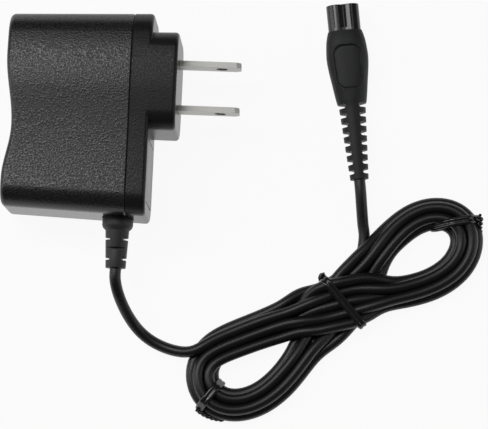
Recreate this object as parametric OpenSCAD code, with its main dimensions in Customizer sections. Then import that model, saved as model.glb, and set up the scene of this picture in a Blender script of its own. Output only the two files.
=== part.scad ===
// Mains charger of a beard trimmer: a plug-in adapter with two flat blades, a thin cord wound
// in a tied figure of eight, and the two-pole connector that pushes into the trimmer.
// Millimetres. The adapter lies on its broad side, with X along the blades and Y along its height.
// The origin is on the surface it lies on, under the middle of the housing and blades.

/* [Housing] */
// Height of the housing at its front face
housing_h = 57; // [56:0.5:66]
// Depth of the housing from the back crest to the front face
housing_d = 40; // [39.5:0.5:50]
// Thickness of the housing between its broad sides
housing_t = 28; // [27:0.5:34]
// How much each end of the housing narrows towards the back
draft = 1.4; // [0:0.1:1.6]
// Wall thickness of both shells
wall = 2; // [1.6:0.1:2.2]
// Radius of the long edges between a broad side and an end
edge_r = 6; // [3:0.5:8]
// Radius of the two back corners
corner_r = 2.6; // [2.4:0.1:4]
// Depth of the finger hollow in the back
grip_depth = 2.1; // [0.5:0.1:2.4]
// Distance of the hollow's deepest line below the middle
grip_drop = 5; // [2:0.5:8]
// Length of the hollow's upper slope
grip_rise_up = 21; // [16:0.5:22]
// Length of the hollow's lower slope
grip_rise_down = 16; // [10:0.5:17]
// Depth of the front shell from the seam to the front face
front_d = 5.6; // [4.5:0.1:7]
// Length of the front shell's lip inside the rear shell
lip_l = 2.5; // [1.5:0.1:3]
// Thickness of that lip
lip_t = 1.2; // [0.8:0.1:1.4]
// Clearance between parts that slide together
slip = 0.1; // [0.05:0.05:0.2]

/* [Plug block] */
// Height of the block that carries the blades
block_h = 27.4; // [24:0.2:30]
// How far the block stands out of the front face
block_d = 7.2; // [5:0.2:10]
// Radius of the block's long edges
block_r = 5; // [2:0.5:8]
// Height of the block's middle above the housing's middle
block_up = 9.3; // [6:0.1:11]
// Thickness of the block's front wall
block_wall = 2.4; // [1.8:0.1:3]

/* [Blades] */
// Distance between the two blades
blade_pitch = 12.7; // [12:0.1:13.4]
// Width of a blade
blade_w = 6.35; // [5.5:0.05:7]
// Thickness of a blade
blade_t = 1.5; // [1.2:0.1:1.8]
// Length of a blade outside the block
blade_l = 17.1; // [15.9:0.1:18.3]
// Length of the bevel at a blade's tip
blade_tip = 1.2; // [0.5:0.1:2]
// Radius of the hole in a blade
blade_hole_r = 1.6; // [1.2:0.1:1.8]
// Distance of the hole from the block's face
blade_hole_at = 11.7; // [9:0.1:13]
// Width of the shoulder behind the block's front wall
shoulder_w = 9; // [8:0.5:12]
// Thickness of the shoulder
shoulder_l = 1.2; // [0.8:0.1:1.6]
// Length of the soldering tail behind the shoulder
tail_l = 4; // [3:0.5:5]

/* [Label] */
// Height of the label plate
label_h = 17; // [10:0.5:19]
// Width of the label plate
label_w = 20; // [12:0.5:22]
// Thickness of the label plate
label_t = 0.3; // [0.2:0.05:0.4]
// Size of its cut corner
label_cut = 3; // [1:0.5:4]
// Margin between the label plate and its recess
label_gap = 0.3; // [0.2:0.1:0.6]
// Distance of the plate's top edge below the block
label_drop = 3; // [2:0.5:4]

/* [Strain relief] */
// Distance of its axis behind the seam
relief_back = 2.6; // [1.5:0.1:4]
// Radius of the outer collar
collar_r = 4.3; // [4:0.1:5]
// Length of the outer collar
collar_l = 4.1; // [3:0.1:5]
// Bevel at the collar's lower edge
collar_bevel = 0.8; // [0.3:0.1:1.2]
// Depth of the flat seat for the collar in the housing
seat_depth = 0.6; // [0.4:0.1:0.9]
// Radius of the neck that passes the wall
neck_r = 3.2; // [2.8:0.1:3.4]
// Radius of the flange inside the wall
flange_r = 4.2; // [3.8:0.1:4.5]
// Thickness of that flange
flange_l = 1.4; // [1:0.1:2]
// Number of slots across the sleeve
relief_slots = 3; // [2:1:4]
// Length of one ring of the sleeve
ring_l = 2.05; // [1.5:0.05:2.6]
// Width of one slot of the sleeve
slot_l = 0.75; // [0.5:0.05:1.1]
// Radius of the sleeve next to the collar
sleeve_r = 3.3; // [3:0.1:3.6]
// Radius of the sleeve at its free end
sleeve_end_r = 2.8; // [2.5:0.1:3]

/* [Cord] */
// Diameter of the cord
cord_d = 3.2; // [2.8:0.1:3.4]
// Width of a bundle of the hank
bundle_w = 9.8; // [9:0.1:11]
// Width of the hank where the middle tie pulls it together
waist_w = 16.6; // [14:0.2:18]
// Number of cord layers in the hank
hank_layers = 2; // [2:1:3]
// Width of a twist tie
tie_w = 2.8; // [2:0.1:4]
// Thickness of a twist tie
tie_t = 0.7; // [0.5:0.1:1]
// Clearance between a tie and the hank
tie_gap = 0.6; // [0.5:0.05:0.8]

/* [Connector] */
// Length of the ribbed tail
rib_tail_l = 21.6; // [18:0.2:26]
// Number of slots on each side of the tail
rib_slots = 8; // [5:1:9]
// Width of one slot
rib_slot_w = 1.15; // [0.8:0.05:1.3]
// Thickness of the web between the slots
rib_web = 3.4; // [3.2:0.1:4]
// Length of the smooth grip
grip_l = 21; // [18:0.5:26]
// Greatest width of the grip
grip_w = 11.9; // [11:0.1:13]
// Greatest thickness of the grip
grip_t = 8.4; // [7.6:0.1:9.4]
// Length of the thumb pad
pad_l = 12; // [9:0.5:14]
// Width of the thumb pad
pad_w = 7.2; // [6:0.2:8]
// Depth of the thumb pad
pad_depth = 0.4; // [0.2:0.1:0.6]
// Length of the nose
nose_l = 7.6; // [6:0.1:9]
// Radius of each lobe of the nose
lobe_r = 2.65; // [2.5:0.05:2.9]
// Distance between the two socket contacts
contact_pitch = 3.9; // [3.6:0.1:4.4]
// Radius of the hole in a socket contact
contact_r = 1; // [0.8:0.05:1.1]
// Wall of a socket contact
contact_wall = 0.3; // [0.2:0.05:0.4]
// Length of a socket contact
contact_l = 6; // [4:0.2:6.6]
// How far a contact sits behind the nose's tip
contact_set = 0.8; // [0.4:0.1:1.2]

/* [Circuit board] */
// Clearance between the board's ends and the end walls of the rear shell
board_end_gap = 1.27; // [1.1:0.01:1.6]
// Clearance between the board and the inside of the finger hollow
board_back_gap = 0.7; // [0.5:0.1:1]
// Thickness of the board
board_t = 1.6; // [1.2:0.1:2]
// Height of the board above the inside of the lower broad side
board_lift = 2.6; // [2:0.1:3]
// How deep the guides hold the board's edges
guide_grip = 1; // [0.6:0.1:1.4]
// Thickness of a guide rib
guide_t = 1.2; // [0.8:0.1:1.6]
// Radius of a component's leg
leg_r = 0.35; // [0.25:0.05:0.4]
// Clearance round a leg in the board
leg_gap = 0.15; // [0.1:0.05:0.25]
// Radius of a solder joint
solder_r = 0.85; // [0.7:0.05:0.95]
// Height of a solder joint
solder_h = 0.5; // [0.3:0.1:0.7]
// How far a leg stands out below the board
leg_out = 1; // [0.8:0.1:1.5]
// Radius of an inner wire
wire_r = 0.6; // [0.45:0.05:0.7]

/* [Components] */
// Radius of an input capacitor
input_cap_r = 3.6; // [3:0.1:3.8]
// Height of an input capacitor
input_cap_h = 12; // [8:0.5:16]
// Radius of the output capacitor
output_cap_r = 3.6; // [3:0.1:4]
// Height of the output capacitor
output_cap_h = 14; // [8:0.5:17]
// Radius of the filter inductor
inductor_r = 2.6; // [2.2:0.1:2.8]
// Height of the filter inductor
inductor_h = 8; // [6:0.5:12]
// Radius of the fusible resistor
resistor_r = 1.7; // [1.2:0.1:2]
// Length of the fusible resistor
resistor_l = 8; // [7:0.5:9]
// Radius of a rectifier diode
diode_r = 1.2; // [1:0.05:1.3]
// Length of a rectifier diode
diode_l = 5.2; // [4:0.2:5.6]
// Radius of the output diode
output_diode_r = 2.2; // [1.6:0.1:2.4]
// Length of the output diode
output_diode_l = 8.4; // [6:0.2:9]
// Gap between the transformer core and the inside of the upper broad side
core_head_gap = 2.3; // [1.5:0.1:3]
// Length of the transformer core
core_l = 13; // [12:0.2:13.6]
// Depth of the transformer core
core_d = 4.8; // [4:0.1:5]
// Width of an outer leg of the core
core_leg = 2; // [1.6:0.1:2.2]
// Width of the core's middle leg
core_mid = 4; // [3.4:0.1:4.2]
// Gap between the winding and the core's outer legs
winding_gap = 1.2; // [1:0.1:1.6]
// Wall of the bobbin
bobbin_wall = 0.7; // [0.5:0.1:0.8]
// Length of the controller chip
chip_l = 9.2; // [7:0.2:9.6]
// Width of the controller chip
chip_w = 5.4; // [5:0.2:5.8]
// Height of the controller chip
chip_h = 3.3; // [2.5:0.1:4]
// Length of the optocoupler
opto_l = 4.6; // [4:0.1:4.8]
// Radius of the safety capacitor
safety_cap_r = 3.3; // [3:0.1:3.6]
// Thickness of the safety capacitor
safety_cap_t = 3.4; // [2.5:0.1:3.6]

/* [Hidden] */

$fn = 48;
// Overlap that makes a cut run past a face
past = 1;

// Places along X
total_l = housing_d + block_d + blade_l;
back_x = -total_l / 2;
front_x = back_x + housing_d;
block_x = front_x + block_d;
seam_x = front_x - front_d;
relief_x = seam_x - relief_back;
mid_z = housing_t / 2;

// Half the height of the housing at a place along X
function half_h(x) = housing_h / 2 - draft * (front_x - x) / housing_d;

// How far the finger hollow goes in at a place along Y
function hollow_t(y) = (y + grip_drop) / (y > -grip_drop ? grip_rise_up : -grip_rise_down);
function hollow(y) = hollow_t(y) >= 1 ? 0 : grip_depth * (1 + cos(180 * hollow_t(y))) / 2;

// Outline of the housing seen along Z, moved inwards by inset, from the back to end_x
outline_steps = 20;
corner_x = back_x + corner_r;
corner_y = half_h(corner_x) - corner_r;
function corner_arc(inset, side) =
    let (r = corner_r - inset)
    [for (k = [0:4])
        let (a = 90 + 90 * (side > 0 ? k : 4 - k) / 4)
        [corner_x + r * cos(a), side * (corner_y + r * sin(a))]];
function back_wave(inset) =
    [for (k = [1:outline_steps - 1])
        let (y = corner_y - 2 * corner_y * k / outline_steps)
        [back_x + inset + hollow(y), y]];
function outline_points(inset, end_x) =
    concat([[end_x, half_h(end_x) - inset]], corner_arc(inset, 1), back_wave(inset),
           corner_arc(inset, -1), [[end_x, inset - half_h(end_x)]]);

module rounded_plate(w, h, r) {
    square([w - 2 * r, h], center = true);
    square([w, h - 2 * r], center = true);
    for (i = [-1, 1], j = [-1, 1])
        translate([i * (w / 2 - r), j * (h / 2 - r)]) circle(r);
}

// A bar along X with rounded long edges, centred on the given height along Y
module bar_x(x0, x1, y, w, h, r) {
    translate([x0, y, mid_z])
        rotate([90, 0, 90])
            linear_extrude(x1 - x0) rounded_plate(w, h, r);
}

// The housing's outer form, or its form moved inwards, between two places along X
module housing_form(inset, x0, x1) {
    intersection() {
        bar_x(x0, x1, 0, housing_h - 2 * inset, housing_t - 2 * inset, edge_r - inset);
        translate([0, 0, inset])
            linear_extrude(housing_t - 2 * inset) polygon(outline_points(inset, x1));
    }
}

// ---------- shells ----------
seat_y = seat_depth - half_h(relief_x);
board_z = wall + board_lift;
board_top = board_z + board_t;
board_play = 0.2;
board_x1 = seam_x - board_play;
board_x0 = back_x + wall + grip_depth + board_back_gap;
board_l = board_x1 - board_x0;
board_w = 2 * (half_h(board_x0) - wall - board_end_gap);
guide_x1 = seam_x - lip_l - board_play;
gate_w = 2 * neck_r;

// Everything that the strain relief takes out of the shells
module relief_passage() {
    translate([relief_x, seat_y, mid_z])
        rotate([90, 0, 0]) cylinder(h = 2 * collar_l, r = collar_r + slip);
    translate([relief_x, seat_y + wall + past, mid_z])
        rotate([90, 0, 0]) cylinder(h = 2 * wall, r = neck_r + slip);
    translate([relief_x, seat_y + wall - seat_depth + slip + flange_l + past, mid_z])
        rotate([90, 0, 0]) cylinder(h = flange_l + past, r = flange_r + 3 * slip);
}

module guide_ribs() {
    for (side = [-1, 1], z = [board_z - guide_t, board_top + slip]) {
        edge = board_w / 2 - guide_grip;
        intersection() {
            housing_form(wall / 2, back_x, guide_x1);
            translate([board_x0, side > 0 ? edge : -housing_h, z])
                cube([guide_x1 - board_x0, housing_h - edge, guide_t]);
        }
    }
}

module rear_shell() {
    color([0.13, 0.13, 0.13])
    difference() {
        union() {
            difference() {
                housing_form(0, back_x - past, seam_x);
                housing_form(wall, back_x - past, seam_x + past);
            }
            guide_ribs();
        }
        relief_passage();
        // slot through which the strain relief drops in from the seam
        translate([relief_x, -housing_h, mid_z - gate_w / 2 - slip])
            cube([relief_back + past, housing_h + seat_y + wall + past, gate_w + 2 * slip]);
    }
}

// The tongue of the front shell that closes the rear shell's slot behind the strain relief
module relief_gate() {
    intersection() {
        difference() {
            housing_form(0, back_x - past, seam_x + past);
            housing_form(wall, back_x - past, seam_x + 2 * past);
        }
        translate([relief_x, -housing_h, mid_z - gate_w / 2])
            cube([relief_back + past, housing_h, gate_w]);
    }
}

module blade_slot(y) {
    translate([front_x, y - blade_t / 2 - slip, mid_z - blade_w / 2 - slip])
        cube([block_d + past, blade_t + 2 * slip, blade_w + 2 * slip]);
}

module label_profile(margin) {
    w = label_w + 2 * margin;
    h = label_h + 2 * margin;
    polygon([[-h / 2, -w / 2], [h / 2 - label_cut, -w / 2], [h / 2, label_cut - w / 2],
             [h / 2, w / 2], [-h / 2, w / 2]]);
}

label_y = block_up - block_h / 2 - label_drop - label_h / 2;

module at_label(x) {
    translate([x, label_y, mid_z]) rotate([90, 0, 90]) children();
}

// The lip stands inside the rear shell; the front shell is thicker along its rim to carry it
lip_in = wall + slip;
rim_d = 1.6;

module front_shell() {
    color([0.13, 0.13, 0.13]) {
        front_cover();
        board_stops();
    }
}

module front_cover() {
    difference() {
        union() {
            housing_form(0, seam_x, front_x);
            housing_form(lip_in, seam_x - lip_l, seam_x + past);
            relief_gate();
            bar_x(front_x - past, block_x, block_up, block_h, housing_t, block_r);
        }
        // the hollows inside the lip, the shell and the block
        housing_form(lip_in + lip_t, seam_x - lip_l - past, seam_x + rim_d + past);
        housing_form(wall, seam_x + rim_d, front_x - wall);
        bar_x(front_x - wall - past, block_x - block_wall, block_up,
              block_h - 2 * wall, housing_t - 2 * wall, block_r - wall);
        for (side = [-1, 1]) blade_slot(block_up + side * blade_pitch / 2);
        at_label(front_x - label_t) linear_extrude(label_t + past) label_profile(label_gap);
        relief_passage();
    }
}

// Two ribs on the lip that keep the board pushed back in its guides
module board_stops() {
    edge = board_w / 2 - wall;
    for (side = [-1, 1])
        intersection() {
            housing_form(lip_in, board_x1, front_x - wall / 2);
            translate([board_x1, side > 0 ? edge : -housing_h, board_z])
                cube([housing_d, housing_h - edge, board_t]);
        }
}

module rating_label() {
    color([0.2, 0.2, 0.2])
        at_label(front_x - label_t) linear_extrude(label_t) label_profile(0);
}

// ---------- blades ----------
module blade(side) {
    y = block_up + side * blade_pitch / 2;
    wall_in = block_x - block_wall;
    color([0.75, 0.74, 0.7])
    translate([0, y + blade_t / 2, mid_z])
    rotate([90, 0, 0])
    difference() {
        linear_extrude(blade_t)
            union() {
                polygon([[wall_in - past, -blade_w / 2],
                         [block_x + blade_l - blade_tip, -blade_w / 2],
                         [block_x + blade_l, blade_tip - blade_w / 2],
                         [block_x + blade_l, blade_w / 2 - blade_tip],
                         [block_x + blade_l - blade_tip, blade_w / 2],
                         [wall_in - past, blade_w / 2]]);
                translate([wall_in - shoulder_l, -shoulder_w / 2])
                    square([shoulder_l, shoulder_w]);
                translate([wall_in - shoulder_l - tail_l, -blade_w / 4])
                    square([tail_l + past, blade_w / 2]);
            }
        translate([block_x + blade_hole_at, 0, -past])
            cylinder(h = blade_t + 2 * past, r = blade_hole_r);
    }
}

module live_blade() { blade(1); }
module neutral_blade() { blade(-1); }

// ---------- strain relief ----------
sleeve_l = (relief_slots + 1) * ring_l + relief_slots * slot_l;
relief_end_y = seat_y - collar_l - sleeve_l;
relief_web = 1.2 * cord_d;

// One slot across the sleeve, cut in from two opposite sides
module sleeve_slot(k) {
    z = collar_l + (k + 1) * ring_l + k * slot_l;
    rotate([0, 0, k % 2 == 0 ? 0 : 90])
        for (side = [-1, 1])
            translate([side > 0 ? relief_web / 2 : -relief_web / 2 - collar_r, -collar_r, z])
                cube([collar_r, 2 * collar_r, slot_l]);
}

module strain_relief() {
    inside = seat_depth - wall - slip - flange_l;
    color([0.1, 0.1, 0.1])
    translate([relief_x, seat_y, mid_z])
    rotate([90, 0, 0])
    difference() {
        rotate_extrude()
            polygon([[0, inside], [flange_r, inside], [flange_r, inside + flange_l],
                     [neck_r, inside + flange_l], [neck_r, 0], [collar_r, 0],
                     [collar_r, collar_l - collar_bevel], [collar_r - collar_bevel, collar_l],
                     [sleeve_r, collar_l], [sleeve_end_r, collar_l + sleeve_l],
                     [0, collar_l + sleeve_l]]);
        for (k = [0:relief_slots - 1]) sleeve_slot(k);
    }
}

// ---------- circuit board ----------
// Every component's place is a share of the way from the board's middle to its edges
board_mid = [(board_x0 + board_x1) / 2, 0];
function share(u, v) = [u * board_l / 2, v * board_w / 2];
resistor_at = share(0.78, 0.66);
inductor_at = share(0.07, 0.8);
diodes_at = share(0.05, 0.39);
input_caps_at = [share(-0.63, 0.77), share(-0.63, 0.39)];
transformer_at = share(-0.03, -0.17);
chip_at = share(0.71, 0.12);
opto_at = share(-0.76, -0.53);
safety_cap_at = share(-0.76, -0.14);
output_diode_at = share(-0.44, -0.81);
output_cap_at = share(0.36, -0.71);
live_pad_at = share(0.51, 0.86);
neutral_pad_at = share(0.56, -0.31);
positive_pad_at = share(0.87, -0.63);
negative_pad_at = share(0.87, -0.42);

// Gap below a body that hangs between its legs
body_lift = 0.4;

// Half the distance between the legs of each component
resistor_reach = resistor_l / 2 + 1.2;
diode_reach = diode_l / 2 + 0.9;
diode_pitch = 2 * diode_r + 2 * slip;
output_diode_reach = output_diode_l / 2 + 1;
cap_leg = 1.75;
inductor_leg = 1.8;
leg_pitch = 2.54;
chip_leg_x = chip_w / 2 + 0.6;
opto_leg = 2.6;
opto_h = 3;
safety_leg = 2.5;
bobbin_leg = [4.6, 4.8];

function pair(at, d) = [at - d, at + d];
resistor_legs = pair(resistor_at, [0, resistor_reach]);
inductor_legs = pair(inductor_at, [0, inductor_leg]);
diode_rows = [for (k = [0:3]) diodes_at + [0, (k - 1.5) * diode_pitch]];
diode_legs = [for (at = diode_rows) each pair(at, [diode_reach, 0])];
input_cap_legs = [for (at = input_caps_at) each pair(at, [0, cap_leg])];
output_cap_legs = pair(output_cap_at, [0, cap_leg]);
output_diode_legs = pair(output_diode_at, [output_diode_reach, 0]);
safety_cap_legs = pair(safety_cap_at, [0, safety_leg]);
chip_legs = [for (i = [-1, 1], j = [-1.5:1.5])
    chip_at + [i * chip_leg_x, j * leg_pitch]];
opto_legs = [for (i = [-1, 1], j = [-0.5, 0.5]) opto_at + [j * leg_pitch, i * opto_leg]];
bobbin_legs = [for (i = [-1, 1], j = [-1, 1])
    transformer_at + [i * bobbin_leg[0], j * bobbin_leg[1]]];
wire_legs = [live_pad_at, neutral_pad_at, positive_pad_at, negative_pad_at];
part_legs = concat(resistor_legs, inductor_legs, diode_legs, input_cap_legs, output_cap_legs,
                   output_diode_legs, safety_cap_legs, chip_legs, opto_legs, bobbin_legs);

module at_board(at, lift = 0) {
    translate([board_mid[0] + at[0], board_mid[1] + at[1], board_top + lift]) children();
}

// Straight legs through the board, each with its solder joint below, up to a height above it
module legs(places, up) {
    for (at = places) {
        at_board(at, -board_t - leg_out)
            cylinder(h = board_t + leg_out + up, r = leg_r, $fn = 16);
        at_board(at, -board_t - solder_h)
            cylinder(h = solder_h, r = solder_r, $fn = 16);
    }
}

module board_holes(places, r) {
    for (at = places)
        at_board(at, -board_t - past) cylinder(h = board_t + 2 * past, r = r, $fn = 16);
}

module circuit_board() {
    color([0.45, 0.36, 0.16])
    difference() {
        translate([board_x0, -board_w / 2, board_z]) cube([board_l, board_w, board_t]);
        board_holes(part_legs, leg_r + leg_gap);
        board_holes(wire_legs, wire_r + leg_gap);
    }
}

// A body lying between two legs, its own leg wires included
module axial(places, r, l, along_y) {
    lift = r + body_lift;
    mid = (places[0] + places[1]) / 2;
    reach = norm(places[1] - places[0]);
    legs(places, lift);
    for (at = places) at_board(at, lift) sphere(leg_r, $fn = 16);
    at_board(mid, lift)
        rotate(along_y ? [90, 0, 0] : [0, 90, 0]) {
            cylinder(h = l, r = r, center = true);
            cylinder(h = reach, r = leg_r, center = true, $fn = 16);
        }
}

module fusible_resistor() {
    color([0.35, 0.5, 0.4]) axial(resistor_legs, resistor_r, resistor_l, true);
}

module rectifier_diodes() {
    color([0.12, 0.12, 0.12])
        for (k = [0:3])
            axial([diode_legs[2 * k], diode_legs[2 * k + 1]], diode_r, diode_l, false);
}

module output_diode() {
    color([0.12, 0.12, 0.12])
        axial(output_diode_legs, output_diode_r, output_diode_l, false);
}

// A can that stands on the board
module can(at, r, h, places) {
    legs(places, past);
    at_board(at) cylinder(h = h, r = r);
}

module filter_inductor() {
    color([0.15, 0.2, 0.16]) can(inductor_at, inductor_r, inductor_h, inductor_legs);
}

module input_capacitors() {
    color([0.1, 0.1, 0.3])
        for (k = [0, 1])
            can(input_caps_at[k], input_cap_r, input_cap_h,
                [input_cap_legs[2 * k], input_cap_legs[2 * k + 1]]);
}

module output_capacitor() {
    color([0.1, 0.1, 0.1]) can(output_cap_at, output_cap_r, output_cap_h, output_cap_legs);
}

module safety_capacitor() {
    lift = safety_cap_r + body_lift;
    color([0.15, 0.35, 0.6]) {
        legs(safety_cap_legs, lift);
        at_board(safety_cap_at, lift)
            rotate([0, 90, 0]) cylinder(h = safety_cap_t, r = safety_cap_r, center = true);
    }
}

// A moulded chip body on the board, with its row of legs on each side
module chip(at, size, places, across) {
    legs(places, size[2] / 2);
    at_board(at, size[2] / 2 + slip) cube(size, center = true);
    for (p = places) {
        bridge = across ? [abs(p[0] - at[0]), 2 * leg_r] : [2 * leg_r, abs(p[1] - at[1])];
        at_board((across ? [(p[0] + at[0]) / 2, p[1]] : [p[0], (p[1] + at[1]) / 2]),
                 size[2] / 2)
            cube([bridge[0], bridge[1], leg_r], center = true);
    }
}

module controller_chip() {
    color([0.12, 0.12, 0.12]) chip(chip_at, [chip_w, chip_l, chip_h], chip_legs, true);
}

module optocoupler() {
    color([0.85, 0.85, 0.8])
        chip(opto_at, [opto_l, 2 * opto_leg - 1, opto_h], opto_legs, false);
}

// ---------- transformer ----------
// The core is two E halves round the bobbin, its middle leg along Y
rail_h = 1.5;
core_w = housing_t - wall - board_top - rail_h - core_head_gap;
core_z = rail_h + core_w / 2;
bobbin_in = 0.15;
bobbin_out = bobbin_in + bobbin_wall;
winding_t = (core_w - core_mid) / 2 - core_leg - bobbin_out - winding_gap;
window_l = core_l - 2 * core_leg;
flange_h = core_w - 2 * core_leg - 2 * bobbin_in;
flange_over = 0.3;
bobbin_flange_w = core_d + 2 * (bobbin_out + winding_t + flange_over);

module at_transformer() {
    at_board(transformer_at, core_z) children();
}

module transformer_core() {
    color([0.2, 0.2, 0.22])
    at_transformer() {
        difference() {
            cube([core_d, core_l, core_w], center = true);
            cube([core_d + past, window_l, core_w - 2 * core_leg], center = true);
        }
        cube([core_d, core_l, core_mid], center = true);
    }
}

// A square tube along Y round the core's middle leg
module leg_tube(inner, outer, l) {
    difference() {
        cube([core_d + 2 * outer, l, core_mid + 2 * outer], center = true);
        cube([core_d + 2 * inner, l + past, core_mid + 2 * inner], center = true);
    }
}

module transformer_bobbin() {
    flange_y = (window_l - bobbin_wall) / 2;
    color([0.85, 0.8, 0.7]) {
        at_transformer() {
            leg_tube(bobbin_in, bobbin_out, window_l);
            for (side = [-1, 1])
                translate([0, side * flange_y, 0])
                    difference() {
                        cube([bobbin_flange_w, bobbin_wall, flange_h], center = true);
                        cube([core_d + 2 * bobbin_in, past, core_mid + 2 * bobbin_in],
                             center = true);
                    }
        }
        bobbin_feet(flange_y);
        legs(bobbin_legs, rail_h / 2);
    }
}

// The bobbin's feet stand on the board beside the core and carry the pins
module bobbin_feet(flange_y) {
    foot_x = core_d / 2 + bobbin_in;
    foot_l = bobbin_leg[0] + leg_r + bobbin_in - foot_x;
    up = core_z - core_mid / 2;
    for (i = [-1, 1], j = [-1, 1]) {
        at_board(transformer_at + [i * (foot_x + foot_l / 2), j * flange_y], up / 2)
            cube([foot_l, bobbin_wall, up], center = true);
        at_board(transformer_at + [i * (foot_x + foot_l / 2), j * bobbin_leg[1]], rail_h / 2)
            cube([foot_l, 2 * abs(bobbin_leg[1] - flange_y) + bobbin_wall, rail_h],
                 center = true);
    }
}

module transformer_winding() {
    color([0.8, 0.65, 0.15])
        at_transformer()
            leg_tube(bobbin_out, bobbin_out + winding_t,
                     window_l - 2 * bobbin_wall);
}

// ---------- skins ----------
// A tube along a route: one ring of points round each of the route's points. Its sides are
// turned by the direction in aside, which the route never follows.
tube_sides = 8;
function unit(v) = v / norm(v);
function along(p, k) = unit(unit(p[min(k + 1, len(p) - 1)] - p[k == len(p) - 1 ? k - 1 : k])
                            + unit(p[k == 0 ? 1 : k] - p[max(k - 1, 0)]));
function ring(p, k, r, aside) =
    let (side = unit(cross(along(p, k), aside)), up = cross(side, along(p, k)))
    [for (i = [0:tube_sides - 1])
        let (a = 360 * (i + 0.5) / tube_sides)
        p[k] + r * (cos(a) * side + sin(a) * up)];

// A closed skin over rings of equally many points, in triangles, with flat ends
module skin(rings) {
    n = len(rings[0]);
    last = (len(rings) - 1) * n;
    walls = [for (k = [0:len(rings) - 2], i = [0:n - 1])
        let (a = k * n + i, b = k * n + (i + 1) % n)
        each [[a, b, b + n], [a, b + n, a + n]]];
    polyhedron(points = [for (r = rings) each r],
               faces = concat([[for (i = [n - 1:-1:0]) i]], walls,
                              [[for (i = [0:n - 1]) last + i]]));
}

module tube(p, r, aside) {
    skin([for (k = [0:len(p) - 1]) ring(p, k, r, aside)]);
}

// ---------- inner wires ----------
// Straight stretch at a wire's start
wire_start = 1.5;
function pad_point(pad, up) =
    [board_mid[0] + pad[0], board_mid[1] + pad[1], board_top + up];

// A wire that comes down on its pad and goes through the board, with its solder joint
module board_wire(start, pad, up, aside) {
    tube(concat(start, [pad_point(pad, up), pad_point(pad, -board_t - leg_out)]),
         wire_r, aside);
    at_board(pad, -board_t - solder_h) cylinder(h = solder_h, r = solder_r, $fn = 16);
}

blade_tail_x = block_x - block_wall - shoulder_l - tail_l;

// The wire meets the back end of the blade's tail
module blade_wire(side, pad) {
    y = block_up + side * blade_pitch / 2;
    board_wire([[blade_tail_x, y, mid_z], [blade_tail_x - wire_start, y, mid_z]], pad, 4,
               [0, 1, 0]);
}

module live_wire() { color([0.5, 0.1, 0.1]) blade_wire(1, live_pad_at); }
module neutral_wire() { color([0.1, 0.1, 0.5]) blade_wire(-1, neutral_pad_at); }

relief_in_y = seat_y + wall - seat_depth + slip + flange_l;

// The wire leaves the inner face of the strain relief
module output_wire(side, pad) {
    x = relief_x + side * 2 * wire_r;
    board_wire([[x, relief_in_y, mid_z], [x, relief_in_y + wire_start, mid_z]], pad, 3,
               [1, 0, 0]);
}

module positive_wire() { color([0.6, 0.1, 0.1]) output_wire(1, positive_pad_at); }
module negative_wire() { color([0.1, 0.1, 0.1]) output_wire(-1, negative_pad_at); }

// ---------- cord ----------
cord_r = cord_d / 2;
hank_h = hank_layers * cord_d;
// Where the connector's cord end is, and how far it is turned from +Y
connector_end = [66.4, -13.3];
connector_turn = 7.7;
// Straight stretch of cord where it leaves a moulding
lead_start = 3;

// Routes of the free stretches, from the strain relief to the hank and from the connector to it
adapter_route = [[relief_x, relief_end_y, mid_z],
                 [relief_x, relief_end_y - lead_start, mid_z],
                 [0.4, -48.5, 12.4], [1.8, -52, 9.4], [3.5, -55, 6.6], [6, -58.2, 4.2],
                 [9, -60.8, 2.6], [13, -62.6, 1.8], [17, -63.4, 1.7], [20.5, -63.6, 2.2],
                 [24, -63.5, 2.4]];
connector_route = [[connector_end[0], connector_end[1], grip_t / 2],
                   [connector_end[0] + lead_start * sin(connector_turn),
                    connector_end[1] - lead_start * cos(connector_turn), grip_t / 2],
                   [67.2, -20, 3.6], [67.5, -23.5, 2.9],
                   [67.9, -27, 2.5], [68.2, -30, 2.4], [69.2, -35, 2.4]];

// Middle line of the hank: a closed figure of eight
hank_route = [[62.7, -48.6], [54, -51.3], [45.5, -55], [35, -59.8], [27, -63.2],
              [23.8, -69], [25.5, -75.5], [31, -78.6], [38, -77.6], [46, -72],
              [54.5, -60.5], [62.7, -48.6], [69.5, -38.5], [76, -29.3], [82.5, -23.2],
              [90, -21.2], [96.2, -24], [98, -30.5], [94.3, -37.5], [86, -42.8],
              [74.5, -46]];
// The line passes the waist twice, and the hank is wider within this distance of it
waist = hank_route[0];
waist_again = 11;
waist_reach = 16;

// A point on the smooth closed curve through the route, t running from 0 to 1 after point k
function smooth_point(p, k, t) =
    let (n = len(p), a = p[(k + n - 1) % n], b = p[k], c = p[(k + 1) % n], d = p[(k + 2) % n])
    (2 * b + (c - a) * t + (2 * a - 5 * b + 4 * c - d) * t * t
     + (3 * b - a - 3 * c + d) * t * t * t) / 2;
smooth_steps = 3;
hank_line = [for (k = [0:len(hank_route) - 1], s = [0:smooth_steps - 1])
    smooth_point(hank_route, k, s / smooth_steps)];
function hank_width(p) =
    bundle_w + (waist_w - bundle_w) * max(0, 1 - norm(p - waist) / waist_reach);

module hank_outline() {
    n = len(hank_line);
    for (k = [0:n - 1])
        hull()
            for (p = [hank_line[k], hank_line[(k + 1) % n]])
                translate(p) circle(d = hank_width(p), $fn = 32);
}

module hank_form() {
    translate([0, 0, tie_t]) linear_extrude(hank_h) hank_outline();
}

module cord_hank() { color([0.09, 0.09, 0.09]) hank_form(); }

// A block inside the hank, whose outer face touches the hank's side at one point of its line
module hank_side(k, side) {
    p = hank_line[k];
    before = hank_line[k - 1];
    after = hank_line[k + 1];
    out = max(hank_width(before), hank_width(after)) / 2 + slip;
    d = after - before;
    translate([p[0], p[1], -past])
        rotate([0, 0, atan2(d[1], d[0])])
            translate([-waist_reach / 2, side > 0 ? 0 : -out, 0])
                cube([waist_reach, out, 2 * hank_h]);
}

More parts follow.
